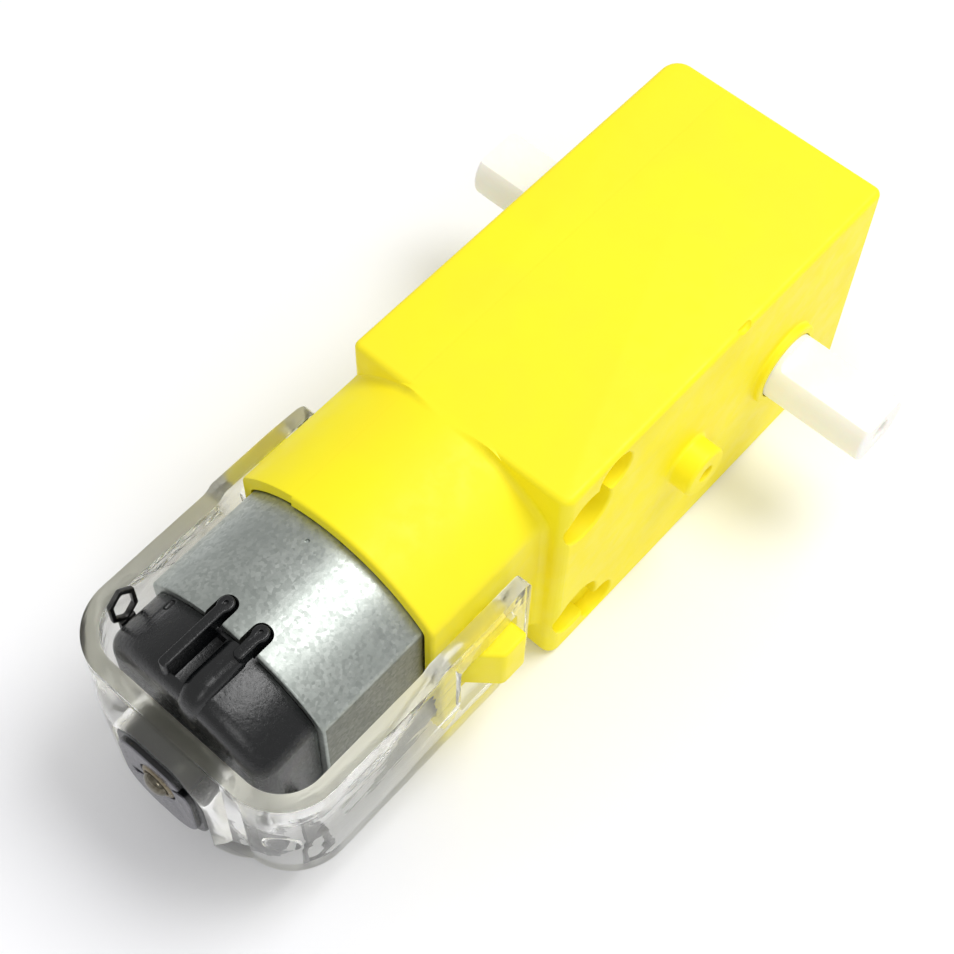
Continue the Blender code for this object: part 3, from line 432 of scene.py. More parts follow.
def yellow_plastic():
    """Moulded lemon yellow, with a faint grain and slow waves in the surface."""
    look = Shader("yellow_plastic", (0.95, 0.72, 0.012), 0.5, Specular_IOR_Level=0.32)
    cloud = look.noise(7 * MM, 2.0)
    look.colour(look.ramp(cloud, 0.3, 0.7), (0.97, 0.85, 0.009), (0.95, 0.81, 0.014))
    look.rough(look.noise(1.6 * MM, 4.0), 0.42, 0.58)
    look.bump(look.noise(0.35 * MM, 4.0, 0.6), 0.006 * MM, 0.5)
    look.bump(look.noise(9 * MM, 1.0), 0.05 * MM, 0.35)
    return look.material


def clear_plastic():
    """Clear and slightly warm; the cut edges that face up or down are duller."""
    look = Shader("clear_plastic", (0.975, 0.97, 0.93), 0.05, Transmission_Weight=0.95, IOR=1.16)
    edge = look.ramp(look.facing("Z"), 0.55, 0.9)
    look.colour(edge, (0.975, 0.975, 0.955), (0.86, 0.855, 0.75))
    look.link(look.ramp(edge, 0.0, 1.0, 0.04, 0.5), look.main.inputs["Roughness"])
    look.bump(look.noise(5 * MM, 1.0, 0.4, (1, 1, 0.4), 1.2), 0.12 * MM, 0.35)
    return look.material


def white_nylon():
    """Ivory nylon that lets a little light in."""
    look = Shader("white_nylon", (0.97, 0.965, 0.93), 0.38, Subsurface_Weight=0.15,
                  Subsurface_Scale=1 * MM)
    cloud = look.noise(4 * MM, 2.0)
    look.colour(look.ramp(cloud, 0.3, 0.7), (0.975, 0.97, 0.935), (0.95, 0.94, 0.89))
    look.rough(look.noise(1.2 * MM, 4.0), 0.32, 0.46)
    look.bump(look.noise(0.3 * MM, 3.0), 0.006 * MM, 0.4)
    return look.material


def gear_acetal():
    """The plain white of the inner gears."""
    look = Shader("gear_acetal", (0.84, 0.83, 0.78), 0.35, Subsurface_Weight=0.1,
                  Subsurface_Scale=1 * MM)
    look.colour(look.ramp(look.noise(3 * MM, 2.0), 0.3, 0.7), (0.86, 0.85, 0.80), (0.81, 0.80, 0.74))
    look.rough(look.noise(0.8 * MM, 3.0), 0.28, 0.44)
    return look.material


def black_plastic():
    """Black with a soft sheen; the raised plate's flat face is painted a paler grey, a painted
    reflection of the bright floor.
    """
    look = Shader("black_plastic", (0.010, 0.011, 0.012), 0.24, Specular_IOR_Level=0.5)
    grain = look.noise(0.25 * MM, 5.0, 0.7)
    # painted reflection: the plate's flat face is lifted to a paler grey that stands in for its
    # reflection of the bright floor
    painted_reflection_on_plate = look.ramp(look.along("X", look.place), PLATE_X + 0.12 * MM, PLATE_X + 0.06 * MM)
    look.colour(painted_reflection_on_plate, (0.003, 0.0035, 0.004), (0.105, 0.102, 0.118))
    look.rough(grain, 0.15, 0.30)
    look.bump(grain, 0.03 * MM, 0.9)
    look.bump(look.noise(1.4 * MM, 2.0), 0.08 * MM, 0.35)
    return look.material


def zinc_steel():
    """Zinc plate in small grains of different tone, with painted shade that darkens the can's two
    flats.
    """
    look = Shader("zinc_steel", (0.45, 0.48, 0.45), 0.42, 1.0)
    split = look.tree.nodes.new("ShaderNodeSeparateColor")
    look.link(look.cells(0.24 * MM), split.inputs[0])
    cloud = look.noise(3.5 * MM, 4.0)
    mixed = look.multiply(split.outputs[0], look.ramp(cloud, 0.25, 0.75, 0.35, 1.0))
    tone = look.blend(mixed, (0.36, 0.39, 0.365), (0.52, 0.55, 0.52))
    # painted shade: the colour is darkened on both flats of the can, where less light falls
    flats = look.blend(look.ramp(look.facing("Y"), 0.93, 0.99), (1, 1, 1), (0.52, 0.50, 0.47))
    look.link(look.tint(tone, flats), look.main.inputs["Base Color"])
    look.link(look.ramp(split.outputs[1], 0.0, 1.0, 0.34, 0.48), look.main.inputs["Roughness"])
    look.bump(look.noise(0.2 * MM, 3.0), 0.008 * MM, 0.5)
    return look.material


def plain_metal(name, dark, light, low, high, grain, stretch=(1, 1, 1), depth=0.004 * MM):
    """Metal with fine streaks or grain: two tones and a roughness range."""
    look = Shader(name, light, high, 1.0)
    streak = look.noise(grain, 4.0, 0.6, stretch)
    look.colour(look.ramp(streak, 0.3, 0.7), dark, light)
    look.rough(streak, low, high)
    look.bump(streak, depth, 0.5)
    return look.material


def ferrite():
    """Matt, slightly pitted magnet grey."""
    look = Shader("ferrite", (0.06, 0.06, 0.065), 0.7)
    look.colour(look.ramp(look.noise(1.5 * MM, 4.0), 0.3, 0.7), (0.045, 0.045, 0.05),
                (0.085, 0.085, 0.09))
    look.rough(look.noise(0.3 * MM, 4.0), 0.6, 0.85)
    look.bump(look.noise(0.25 * MM, 5.0), 0.03 * MM, 0.6)
    return look.material


def winding_copper():
    """Enamelled wire: fine bands that stand for the turns, with a dark varnish tone."""
    look = Shader("winding_copper", (0.62, 0.24, 0.10), 0.28, 1.0)
    wave = look.tree.nodes.new("ShaderNodeTexWave")
    wave.bands_direction = "DIAGONAL"
    wave.inputs["Scale"].default_value = 1 / (0.9 * MM)
    look.link(look.place, wave.inputs["Vector"])
    look.colour(wave.outputs["Fac"], (0.33, 0.10, 0.04), (0.72, 0.30, 0.13))
    look.rough(look.noise(0.6 * MM), 0.22, 0.4)
    look.bump(wave.outputs["Fac"], 0.06 * MM, 0.7)
    return look.material


MATERIALS = {
    "yellow_plastic": yellow_plastic(),
    "clear_plastic": clear_plastic(),
    "white_nylon": white_nylon(),
    "black_plastic": black_plastic(),
    "zinc_steel": zinc_steel(),
    "gear_acetal": gear_acetal(),
    "ferrite": ferrite(),
    "winding_copper": winding_copper(),
    "bright_steel": plain_metal("bright_steel", (0.08, 0.07, 0.05), (0.18, 0.165, 0.13),
                                0.10, 0.18, 0.3 * MM, (8, 1, 1)),
    "screw_steel": plain_metal("screw_steel", (0.16, 0.16, 0.17), (0.32, 0.32, 0.33),
                               0.28, 0.45, 0.3 * MM),
    "tinned_lug": plain_metal("tinned_lug", (0.035, 0.035, 0.035), (0.12, 0.12, 0.115),
                              0.30, 0.50, 0.6 * MM),
    "sintered_bronze": plain_metal("sintered_bronze", (0.13, 0.11, 0.075),
                                   (0.26, 0.22, 0.15), 0.25, 0.45, 0.15 * MM,
                                   depth=0.02 * MM),
    "pinion_brass": plain_metal("pinion_brass", (0.66, 0.46, 0.18), (0.82, 0.62, 0.28),
                                0.2, 0.36, 0.4 * MM, (6, 1, 1)),
    "brush_copper": plain_metal("brush_copper", (0.48, 0.22, 0.11), (0.74, 0.42, 0.26),
                                0.25, 0.45, 0.5 * MM),
    "lamination_steel": plain_metal("lamination_steel", (0.22, 0.22, 0.225),
                                    (0.42, 0.42, 0.43), 0.35, 0.55, 0.35 * MM,
                                    (0.3, 9, 9), 0.05 * MM),
}


# ------ gearbox case

EDGE = 0.5 * MM
LIP = 0.22 * MM
NECK_HALF_WIDTH = 8.56 * MM
HOOK_HALF_HEIGHT = 2.25 * MM
COLLAR_RADIUS = 3.4 * MM
COLLAR_ROUND = 0.2 * MM
NUB_RADIUS = 2.05 * MM
NUB_FILLET = 0.35 * MM
SHAFT_BORE = 2.82 * MM
BOLT_BORE = 1.5 * MM
BOLT_SEAT = 2.3 * MM
BOLT_SEAT_DEPTH = 2.0 * MM
AXLE_BORE = 1.1 * MM
SEAM_Y = PARTING_Y + 0.01 * MM
FAR = 60 * MM


def case_outline():
    """The block from above. The far corner at the output end is the softest."""
    return filleted([
        (BLOCK_REAR_X, -SIDE_Y, 0.9 * MM), (END_X, -SIDE_Y, 0.7 * MM),
        (END_X, SIDE_Y, 1.5 * MM), (BLOCK_REAR_X, SIDE_Y, 0.55 * MM)])


def neck_mesh():
    """The neck: rounded at its rear rim and flared where it meets the block.

    The flare fades out towards the cover's side and never passes the block's faces.
    """
    outline = flatted_circle(AXIS_Z - SLIVER, NECK_HALF_WIDTH, 1.3 * MM, 40)
    top, side = HEIGHT - SLIVER, SIDE_Y - SLIVER
    rings = [(offset(outline, -inset), NECK_REAR_X + depth)
             for inset, depth in rounded_end(0.3 * MM, 5)]
    for inset, spread in rounded_end(0.6 * MM, 6):
        ring = []
        for (y, z), (far_y, far_z) in zip(outline, offset(outline, spread)):
            share = min(max((side - y) / (6 * MM), 0), 1)
            y, z = y + (far_y - y) * share, z + (far_z - z) * share
            ring.append((max(y, -side), min(max(z, HEIGHT - top), top)))
        rings.append((ring, BLOCK_REAR_X - inset + 0.01 * MM))
    foot = rings[-1][0]
    rings += [(foot, BLOCK_REAR_X + 0.6 * MM), (outline, BLOCK_REAR_X + 0.7 * MM),
              (outline, BLOCK_REAR_X + 1.2 * MM)]
    return loft(rings, "X")


def hook_mesh(side):
    """The wedge that the strap's window snaps over."""
    wall = MOTOR_Y + side * NECK_HALF_WIDTH
    inside = wall - side * 0.6 * MM
    tip = MOTOR_Y + side * 11.5 * MM
    rear, front = NECK_REAR_X + 1.5 * MM, NECK_REAR_X + 6.15 * MM
    outline = filleted([
        (rear, wall + side * 0.1 * MM, 0), (rear, inside, 0), (front, inside, 0),
        (front, tip, 0.35 * MM), (front - 2.3 * MM, tip, 0.7 * MM)], 5)
    if side < 0:
        outline = outline[::-1]
    return prism(outline, AXIS_Z - HOOK_HALF_HEIGHT, AXIS_Z + HOOK_HALF_HEIGHT, "Z",
                 0.25 * MM, 0.25 * MM)


def collar_mesh(side):
    """The collar round the output shaft, with a fillet at its foot."""
    face, top = side * SIDE_Y, side * (SIDE_Y + COLLAR_HEIGHT)
    curve = rounded_end(COLLAR_ROUND, 4)
    profile = [(COLLAR_RADIUS + COLLAR_ROUND, face - side * 0.4 * MM)]
    profile += [(COLLAR_RADIUS + inset, face + side * rise) for inset, rise in curve]
    profile += [(COLLAR_RADIUS - rise, top - side * inset) for inset, rise in curve]
    if side < 0:
        profile = profile[::-1]
    return turned(profile, "Y", OUTPUT_AXIS, 72)


def nub_mesh():
    """The round boss on the housing side, with a fillet at its foot."""
    face, top = -SIDE_Y, -SIDE_Y - NUB_HEIGHT
    profile = [(NUB_RADIUS - inset, top + depth) for inset, depth in rounded_end(0.3 * MM, 5)]
    profile += [(NUB_RADIUS + rise, face - inset) for inset, rise in rounded_end(NUB_FILLET, 5)]
    profile.append((NUB_RADIUS + NUB_FILLET, face + 0.4 * MM))
    return turned(profile, "Y", AXLE_AXIS, 64)


def cavity_mesh():
    """The gear space: a box less the corners that hold the holes and screws."""
    space = solid("cavity", block((CAVITY_REAR_X, FLOOR_Y, WALL),
                                  (END_X - WALL, CEILING_Y, HEIGHT - WALL)))
    keep = []
    for z, way, edge in zip(MOUNTS, (1, -1), (-CLEAR, HEIGHT + CLEAR)):
        low, high = sorted((edge, z + way * 2.8 * MM))
        keep.append(block((CAVITY_REAR_X - CLEAR, -SIDE_Y, low),
                          (MOUNT_X + 2.6 * MM, SIDE_Y, high)))
    keep += [rod(1.7 * MM, -SIDE_Y, SIDE_Y, "Y", centre, 24) for centre in SCREWS]
    combine(space, cuts=keep)
    gear_room = rod(8.7 * MM, FLOOR_Y - 0.05 * MM, -2.9 * MM, "Y", OUTPUT_AXIS, 64)
    combine(space, adds=[gear_room])
    mesh = space.data
    bpy.data.objects.remove(space, do_unlink=True)
    return mesh


def bore_meshes():
    """The motor's seat and the opening for its front boss."""
    seat = flatted_circle(10.2 * MM, 7.82 * MM, 0.9 * MM, 32)
    stop = BLOCK_REAR_X + 0.3 * MM
    return [prism(seat, NECK_REAR_X - 0.7 * MM, stop, "X", -0.9 * MM),
            rod(3.3 * MM, stop - CLEAR, CAVITY_REAR_X + CLEAR, "X", MOTOR_AXIS)]


def hole_meshes():
    """The shaft's opening and the mounting holes, through both halves."""
    reach = SIDE_Y + 3 * MM
    meshes = [rod(SHAFT_BORE, -reach, reach, "Y", OUTPUT_AXIS, 72)]
    for z in MOUNTS:
        centre = (MOUNT_X, z)
        meshes.append(rod(BOLT_BORE, -reach, reach, "Y", centre))
        for side in (-1, 1):
            meshes.append(well(BOLT_SEAT, side * SIDE_Y, BOLT_SEAT_DEPTH, -side, "Y",
                               centre, LIP, 56))
    return meshes


def housing_marks():
    """Lobes beside the mounting holes, a moulding notch and the boss's hole."""
    meshes = []
    for way in (-1, 1):
        centre = (MOUNT_X + 2.6 * MM, AXIS_Z + way * 9.2 * MM)
        meshes.append(well(1.65 * MM, -SIDE_Y, 1.3 * MM, 1, "Y", centre, 0.18 * MM, 40))
    notch = (SHAFT_X - 6.6 * MM, HEIGHT + 0.3 * MM)
    meshes.append(rounded_rod(0.8 * MM, -SIDE_Y - CLEAR, -SIDE_Y + 0.4 * MM, "Y", notch,
                              0, 0.2 * MM))
    meshes.append(well(0.7 * MM, -SIDE_Y - NUB_HEIGHT, 1.0 * MM, 1, "Y", AXLE_AXIS,
                       0.12 * MM, 32))
    return meshes


def housing_cuts():
    """The housing's marks and blind holes, and all that lies past the parting plane."""
    cuts = housing_marks()
    cuts += [rod(1.0 * MM, -6.0 * MM, SIDE_Y + CLEAR, "Y", centre, 24) for centre in SCREWS]
    cuts.append(rod(AXLE_BORE, -SIDE_Y - 0.7 * MM, FLOOR_Y + CLEAR, "Y", AXLE_AXIS, 24))
    cuts.append(block((-FAR, SEAM_Y, -FAR), (FAR, FAR, FAR)))
    return cuts


def cover_cuts():
    """Screw holes and seats, the axle's blind hole, a set-back rim and the other half."""
    cuts = []
    for centre in SCREWS:
        cuts.append(rod(1.1 * MM, 0, SIDE_Y + CLEAR, "Y", centre, 24))
        cuts.append(well(1.9 * MM, SIDE_Y, 1.5 * MM, -1, "Y", centre, LIP, 40))
    cuts.append(rod(AXLE_BORE, CEILING_Y - CLEAR, SIDE_Y - 0.5 * MM, "Y", AXLE_AXIS, 24))
    cuts.append(block((NECK_REAR_X - CLEAR, 0, 0),
                      (NECK_REAR_X + 0.15 * MM, 14 * MM, HEIGHT)))
    cuts.append(block((-FAR, -FAR, -FAR), (FAR, SEAM_Y + SLIVER, FAR)))
    return cuts


def case_half(name, side):
    """One half of the case: the whole outside, then cut at the parting plane."""
    half = solid(name, prism(case_outline(), 0, HEIGHT, "Z", EDGE, EDGE, 6))
    adds = [neck_mesh(), hook_mesh(side), collar_mesh(side)]
    if side < 0:
        adds.append(nub_mesh())
    combine(half, adds=adds)
    own_cuts = housing_cuts() if side < 0 else cover_cuts()
    return combine(half, cuts=[cavity_mesh()] + bore_meshes() + hole_meshes() + own_cuts)


def make_case():
    """Both halves of the yellow case."""
    show(case_half("housing_shell", -1), "yellow_plastic", "root", "gearbox_housing")
    show(case_half("cover_shell", 1), "yellow_plastic", "root", "gearbox_cover")


# ------ case screws

SCREW_CORE = 0.72 * MM
SCREW_CREST = 0.92 * MM
SCREW_PITCH = 0.8 * MM
SCREW_SHANK = 0.85 * MM
SCREW_HEAD = 1.7 * MM
HEAD_RIM = 0.5 * MM
HEAD_DOME = 0.75 * MM


def screw_profile(tip, top):
    """From the point to the domed head; the thread is a row of plain rings."""
    seat = top - HEAD_RIM - HEAD_DOME
    profile = [(0.2 * MM, tip), (0.9 * MM, tip + 1.2 * MM)]
    along = tip + 1.6 * MM
    while along < seat - 1.2 * MM:
        profile += [(SCREW_CORE, along), (SCREW_CREST, along + SCREW_PITCH * 0.45),
                    (SCREW_CORE, along + SCREW_PITCH * 0.9)]
        along += SCREW_PITCH
    profile += [(SCREW_SHANK, seat - 0.6 * MM), (SCREW_SHANK, seat),
                (SCREW_HEAD - 0.1 * MM, seat), (SCREW_HEAD, seat + 0.1 * MM)]
    for turn in (radians(15 * i) for i in range(6)):
        profile.append((SCREW_HEAD * cos(turn), seat + HEAD_RIM + HEAD_DOME * sin(turn)))
    return profile


def make_screws():
    """The three case screws, each with a cross recess in its head."""
    for number, centre in enumerate(SCREWS, start=1):
        node = "case_screw_%d" % number
        low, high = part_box(node)
        screw = solid(node + "_detail", turned(screw_profile(low.y, high.y), "Y", centre, 40))
        x, z = centre
        arms = []
        for wide, tall in ((0.95 * MM, 0.17 * MM), (0.17 * MM, 0.95 * MM)):
            arms.append(block((x - wide, high.y - 0.7 * MM, z - tall),
                              (x + wide, high.y + CLEAR, z + tall)))
        combine(screw, cuts=arms)
        soften(screw, 0.04 * MM, 2, 50)
        show(screw, "screw_steel", "root", node)


# ------ output shaft

SHAFT_RADIUS = 2.7 * MM
SHAFT_HALF_FLATS = 1.85 * MM
SHAFT_SHOULDER = 3.25 * MM
WAIST_RADIUS = 2.2 * MM
END_HOLE_RADIUS = 0.9 * MM
END_HOLE_DEPTH = 6 * MM
GEAR_LOW_Y, GEAR_HIGH_Y = -7.5 * MM, -6.3 * MM
GEAR_TEETH = 32
GEAR_MODULE = 0.5 * MM
GEAR_SHIFT = -0.25
BACKLASH = 0.09 * MM


def involute(angle):
    """The involute function of a pressure angle."""
    return tan(angle) - angle


def gear_outline(teeth, shift, module, tooth_heading):
    """A spur gear's outline, with six points along each involute flank."""
    lean = radians(20)
    pitch = module * teeth / 2
    base = pitch * cos(lean)
    root = pitch - module * (1.25 - shift)
    tip = pitch + module * (1 + shift)
    thickness = module * (pi / 2 + 2 * shift * tan(lean)) - BACKLASH
    half_at_base = thickness / (2 * pitch) + involute(lean)
    start = max(root, base)
    radii = [root] + [start + (tip - start) * i / 5 for i in range(6)]
    if start == root:
        radii = radii[1:]
    points = []
    for tooth in range(teeth):
        heading = radians(tooth_heading) + 2 * pi * tooth / teeth
        flank = []
        for radius in radii:
            half = half_at_base - involute(acos(min(1.0, base / max(radius, base))))
            flank.append((radius, half))
        for radius, half in flank:
            points.append((radius * cos(heading - half), radius * sin(heading - half)))
        for radius, half in reversed(flank):
            points.append((radius * cos(heading + half), radius * sin(heading + half)))
    return points


def shaft_end_cuts(half):
    """The two flats and the screw hole at each end of the shaft."""
    cuts = []
    for side in (-1, 1):
        inner = side * (SIDE_Y + COLLAR_HEIGHT + 0.3 * MM)
        outer = side * (half + CLEAR)
        for way in (-1, 1):
            flat, clear = AXIS_Z + way * SHAFT_HALF_FLATS, AXIS_Z + way * 6 * MM
            outline = filleted([(inner, flat, 0.5 * MM), (inner, clear, 0),
                                (outer, clear, 0), (outer, flat, 0)], 6)
            cuts.append(prism(outline, SHAFT_X - 5 * MM, SHAFT_X + 5 * MM, "X"))
        cuts.append(well(END_HOLE_RADIUS, side * half, END_HOLE_DEPTH, -side, "Y",
                         OUTPUT_AXIS, 0.15 * MM, 40))
    return cuts


def make_output_shaft():
    """The double-flatted shaft, moulded in one piece with the last gear."""
    half = shaft_high.y
    ends = rounded_end(0.3 * MM, 5)
    foot_y = GEAR_LOW_Y - 0.15 * MM
    profile = [(SHAFT_RADIUS - inset, -half + depth) for inset, depth in ends]
    profile += [(SHAFT_RADIUS, foot_y), (SHAFT_SHOULDER, foot_y),
                (SHAFT_SHOULDER, GEAR_HIGH_Y), (SHAFT_RADIUS, GEAR_HIGH_Y),
                (SHAFT_RADIUS, -3.05 * MM), (WAIST_RADIUS, -3.0 * MM),
                (WAIST_RADIUS, -0.5 * MM), (SHAFT_RADIUS, -0.45 * MM)]
    profile += [(SHAFT_RADIUS - inset, half - depth) for inset, depth in reversed(ends)]
    shaft = solid("output_shaft_detail", turned(profile, "Y", OUTPUT_AXIS, 96))
    teeth = gear_outline(GEAR_TEETH, GEAR_SHIFT, GEAR_MODULE, 180 + 180 / GEAR_TEETH)
    outline = [(x + SHAFT_X, z + AXIS_Z) for x, z in teeth]
    combine(shaft, adds=[prism(outline, GEAR_LOW_Y, GEAR_HIGH_Y, "Y")])
    combine(shaft, cuts=shaft_end_cuts(half))
    soften(shaft, 0.12 * MM, 3, 30)
    show(shaft, "white_nylon", "output", "output_shaft", angle=25)


# ------ motor

CAN_RADIUS = 10.05 * MM
CAN_HALF_WIDTH = 7.7 * MM
CAN_CORNER = 1.1 * MM
CAP_RADIUS = 9.35 * MM
CAP_HALF_WIDTH = 7.05 * MM
CAP_CORNER = 1.6 * MM
RIB_OFFSET = 1.5 * MM
LOBE_X = CAN_REAR_X + 1.2 * MM
LOBE_TOP = MOTOR_Z + 10.3 * MM
LOBE_RADIUS = 0.55 * MM
NOTCH_HALF_WIDTH = 0.75 * MM
LUG_FOOT = 2.6 * MM


def can_notch(y):
    """The round-ended notch in the can's rear rim that takes one of the cap's lobes."""
    rear, front = CAN_REAR_X - CLEAR, LOBE_X + NOTCH_HALF_WIDTH
    low, high = y - NOTCH_HALF_WIDTH, y + NOTCH_HALF_WIDTH
    outline = filleted([(rear, low, 0), (front, low, 0.7 * MM), (front, high, 0.7 * MM),
                        (rear, high, 0)], 8)
    return prism(outline, MOTOR_Z + 8 * MM, HEIGHT, "Z")


def make_can():
    """The drawn can, with a front boss, two notches in its rear rim and a stamped dot."""
    outline = flatted_circle(CAN_RADIUS, CAN_HALF_WIDTH, CAN_CORNER, 44)
    can = solid("can_shell", prism(outline, CAN_REAR_X, CAN_FRONT_X, "X", 0.22 * MM, 0.9 * MM, 6))
    boss = rounded_rod(3.0 * MM, CAN_FRONT_X - 0.4 * MM, CAN_FRONT_X + 1.5 * MM, "X",
                       MOTOR_AXIS, 0, 0.3 * MM)
    combine(can, adds=[boss])
    inner = flatted_circle(9.25 * MM, 6.9 * MM, 0.6 * MM, 40)
    dot = (CAN_REAR_X + 7.7 * MM, MOTOR_Y + 0.9 * MM)
    combine(can, cuts=[
        prism(inner, CAN_REAR_X - 0.25 * MM, CAN_FRONT_X - 0.8 * MM, "X", -0.3 * MM),
        rod(2.0 * MM, CAN_FRONT_X - 3 * MM, CAN_FRONT_X + 3 * MM, "X", MOTOR_AXIS),
        can_notch(MOTOR_Y - RIB_OFFSET),
        can_notch(MOTOR_Y + RIB_OFFSET),
        rod(0.17 * MM, MOTOR_Z + 9.85 * MM, HEIGHT, "Z", dot, 24)])
    show(can, "zinc_steel", "root", "motor_can")


def cap_body():
    """The cap's dome, rounded towards the rear."""
    outline = flatted_circle(CAP_RADIUS, CAP_HALF_WIDTH, CAP_CORNER, 44, 8)
    return prism(outline, CAP_REAR_X, CAN_REAR_X - 0.05 * MM, "X", 1.4 * MM, 0, 10)


def rib_mesh(y, half, rear_x):
    """A rib along the cap that ends in a rounded lobe inside the can's notch."""
    waist, front, corner = LOBE_X - 0.6 * MM, LOBE_X + LOBE_RADIUS, LOBE_RADIUS * 0.98
    shoulder = LOBE_X - 0.2 * MM
    outline = filleted([(rear_x, y - half, 0.3 * MM), (waist, y - half, 0),
                        (shoulder, y - LOBE_RADIUS, 0), (front, y - LOBE_RADIUS, corner),
                        (front, y + LOBE_RADIUS, corner), (shoulder, y + LOBE_RADIUS, 0),
                        (waist, y + half, 0), (rear_x, y + half, 0.3 * MM)], 8)
    return prism(outline, MOTOR_Z + 7.5 * MM, LOBE_TOP, "Z", 0, 0.15 * MM)


def ridge_mesh():
    """The broad rounded ridge that runs along the cap and over its rear edge."""
    rear, front = CAP_REAR_X - 0.25 * MM, CAN_REAR_X - 0.15 * MM
    top = MOTOR_Z + 9.85 * MM
    low = top - 4.0 * MM
    outline = filleted([(front, top - 2.5 * MM, 0), (front, top, 0), (rear, top, 1.9 * MM),
                        (rear, low, 0), (rear + 1.4 * MM, low, 0)], 10)
    return prism(outline, MOTOR_Y - 2.0 * MM, MOTOR_Y + 0.1 * MM, "Y", 0.85 * MM, 0.85 * MM, 8)


def plate_outline():
    """The raised plate that stands in the strap's arch, seen from behind."""
    low, high = AXIS_Z - 6.1 * MM, AXIS_Z + 3.15 * MM
    near, far = MOTOR_Y - 3.6 * MM, MOTOR_Y + 4.2 * MM
    return filleted([(near, low, 3.2 * MM), (far, low, 3.2 * MM), (far, high, 2.7 * MM),
                     (near, high, 2.7 * MM)], 10)


def plate_slot(heading):
    """A wedge-shaped slot in the plate that points away from the shaft."""
    along = Vector((cos(radians(heading)), sin(radians(heading))))
    across = Vector((-along.y, along.x))
    near, far = Vector(MOTOR_AXIS) + along * 1.9 * MM, Vector(MOTOR_AXIS) + along * 3.3 * MM
    narrow, wide = across * 0.12 * MM, across * 0.34 * MM
    outline = [tuple(near - narrow), tuple(near + narrow), tuple(far + wide), tuple(far - wide)]
    return prism(outline, PLATE_X - CLEAR, PLATE_X + 0.6 * MM, "X")


def cap_cuts():
    """The cap's hollow and bore, and the slots, holes and dimples in its surface."""
    inner = flatted_circle(8.0 * MM, 5.9 * MM, 0.5 * MM, 36)
    cuts = [prism(inner, CAP_REAR_X + 1.0 * MM, CAN_REAR_X + 3 * MM, "X"),
            rod(1.6 * MM, PLATE_X - CLEAR, CAP_REAR_X + 2 * MM, "X", MOTOR_AXIS),
            block((CAP_REAR_X + 0.8 * MM, MOTOR_Y + 0.05 * MM, MOTOR_Z + 8.2 * MM),
                  (CAN_REAR_X - 0.3 * MM, MOTOR_Y + 1.15 * MM, HEIGHT)),
            rounded_rod(0.32 * MM, CAN_REAR_X - 1.1 * MM, CAN_REAR_X - 0.2 * MM, "X",
                        (MOTOR_Y + 5.1 * MM, MOTOR_Z + 7.9 * MM), 0.25 * MM, 0.25 * MM)]
    cuts += [plate_slot(heading) for heading in (142, -38)]
    for side in (-1, 1):
        low, high = sorted((MOTOR_Y + side * 5.0 * MM, MOTOR_Y + side * 8.0 * MM))
        z = MOTOR_Z + side * LUG_FOOT
        cuts.append(block((CAP_REAR_X + 1.9 * MM, low, z - 0.45 * MM),
                          (CAP_REAR_X + 4.1 * MM, high, z + 0.45 * MM)))
        cuts.append(rod(0.16 * MM, LOBE_TOP - 0.2 * MM, LOBE_TOP + CLEAR, "Z",
                        (LOBE_X, MOTOR_Y + side * RIB_OFFSET), 20))
    return cuts


def make_cap():
    """The black end cap: rib, ridge, two lobes and a raised plate round the shaft."""
    cap = solid("cap_shell", cap_body())
    spigot = flatted_circle(9.1 * MM, 6.75 * MM, 0.6 * MM, 40)
    plate = plate_outline()
    foot = CAP_REAR_X + 0.3 * MM
    combine(cap, adds=[
        prism(spigot, CAN_REAR_X - 1 * MM, CAN_REAR_X + 1.8 * MM, "X"),
        ridge_mesh(),
        rib_mesh(MOTOR_Y + RIB_OFFSET, 0.38 * MM, CAP_REAR_X + 0.5 * MM),
        rib_mesh(MOTOR_Y - RIB_OFFSET, 0.40 * MM, CAN_REAR_X - 1.0 * MM),
        prism(plate, PLATE_X + 0.4 * MM, foot, "X", 0.2 * MM, 0),
        prism(offset(plate, -0.55 * MM), PLATE_X, foot, "X", 0.2 * MM, 0)])
    combine(cap, cuts=cap_cuts())
    soften(cap, 0.06 * MM, 2, 55)
    show(cap, "black_plastic", "root", "motor_end_cap")


def make_bushing():
    """The sintered sleeve in the cap's plate, with a rounded mouth."""
    low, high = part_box("rear_bushing")
    profile = soft_profile(1.5 * MM, low.x, high.x, 0.4 * MM, 0.1 * MM)
    sleeve = solid("rear_bushing_detail", turned(profile, "X", MOTOR_AXIS, 64))
    combine(sleeve, cuts=[well(1.1 * MM, low.x, 3 * MM, 1, "X", MOTOR_AXIS, 0.15 * MM, 48)])
    show(sleeve, "sintered_bronze", "root", "rear_bushing")


def make_motor_shaft():
    """The motor's steel shaft, with a domed rear tip and a chamfered front end."""
    radius = 1.0 * MM
    profile = []
    for turn in (radians(10 * i) for i in range(1, 10)):
        profile.append((radius * sin(turn), rotor_low.x + 0.55 * MM * (1 - cos(turn))))
    profile += [(radius, rotor_high.x - 0.3 * MM), (0.8 * MM, rotor_high.x)]
    shaft = solid("motor_shaft_detail", turned(profile, "X", MOTOR_AXIS, 56))
    show(shaft, "bright_steel", "rotor", "motor_shaft")


def lug_eye(x, z, half_width, half_height):
    """A six-sided outline that stands on its point."""
    corners = []
    for turn in (radians(60 * i) for i in range(6)):
        corners.append((x + half_width * sin(turn), z + half_height * cos(turn), 0.22 * MM))
    return filleted(corners, 4)


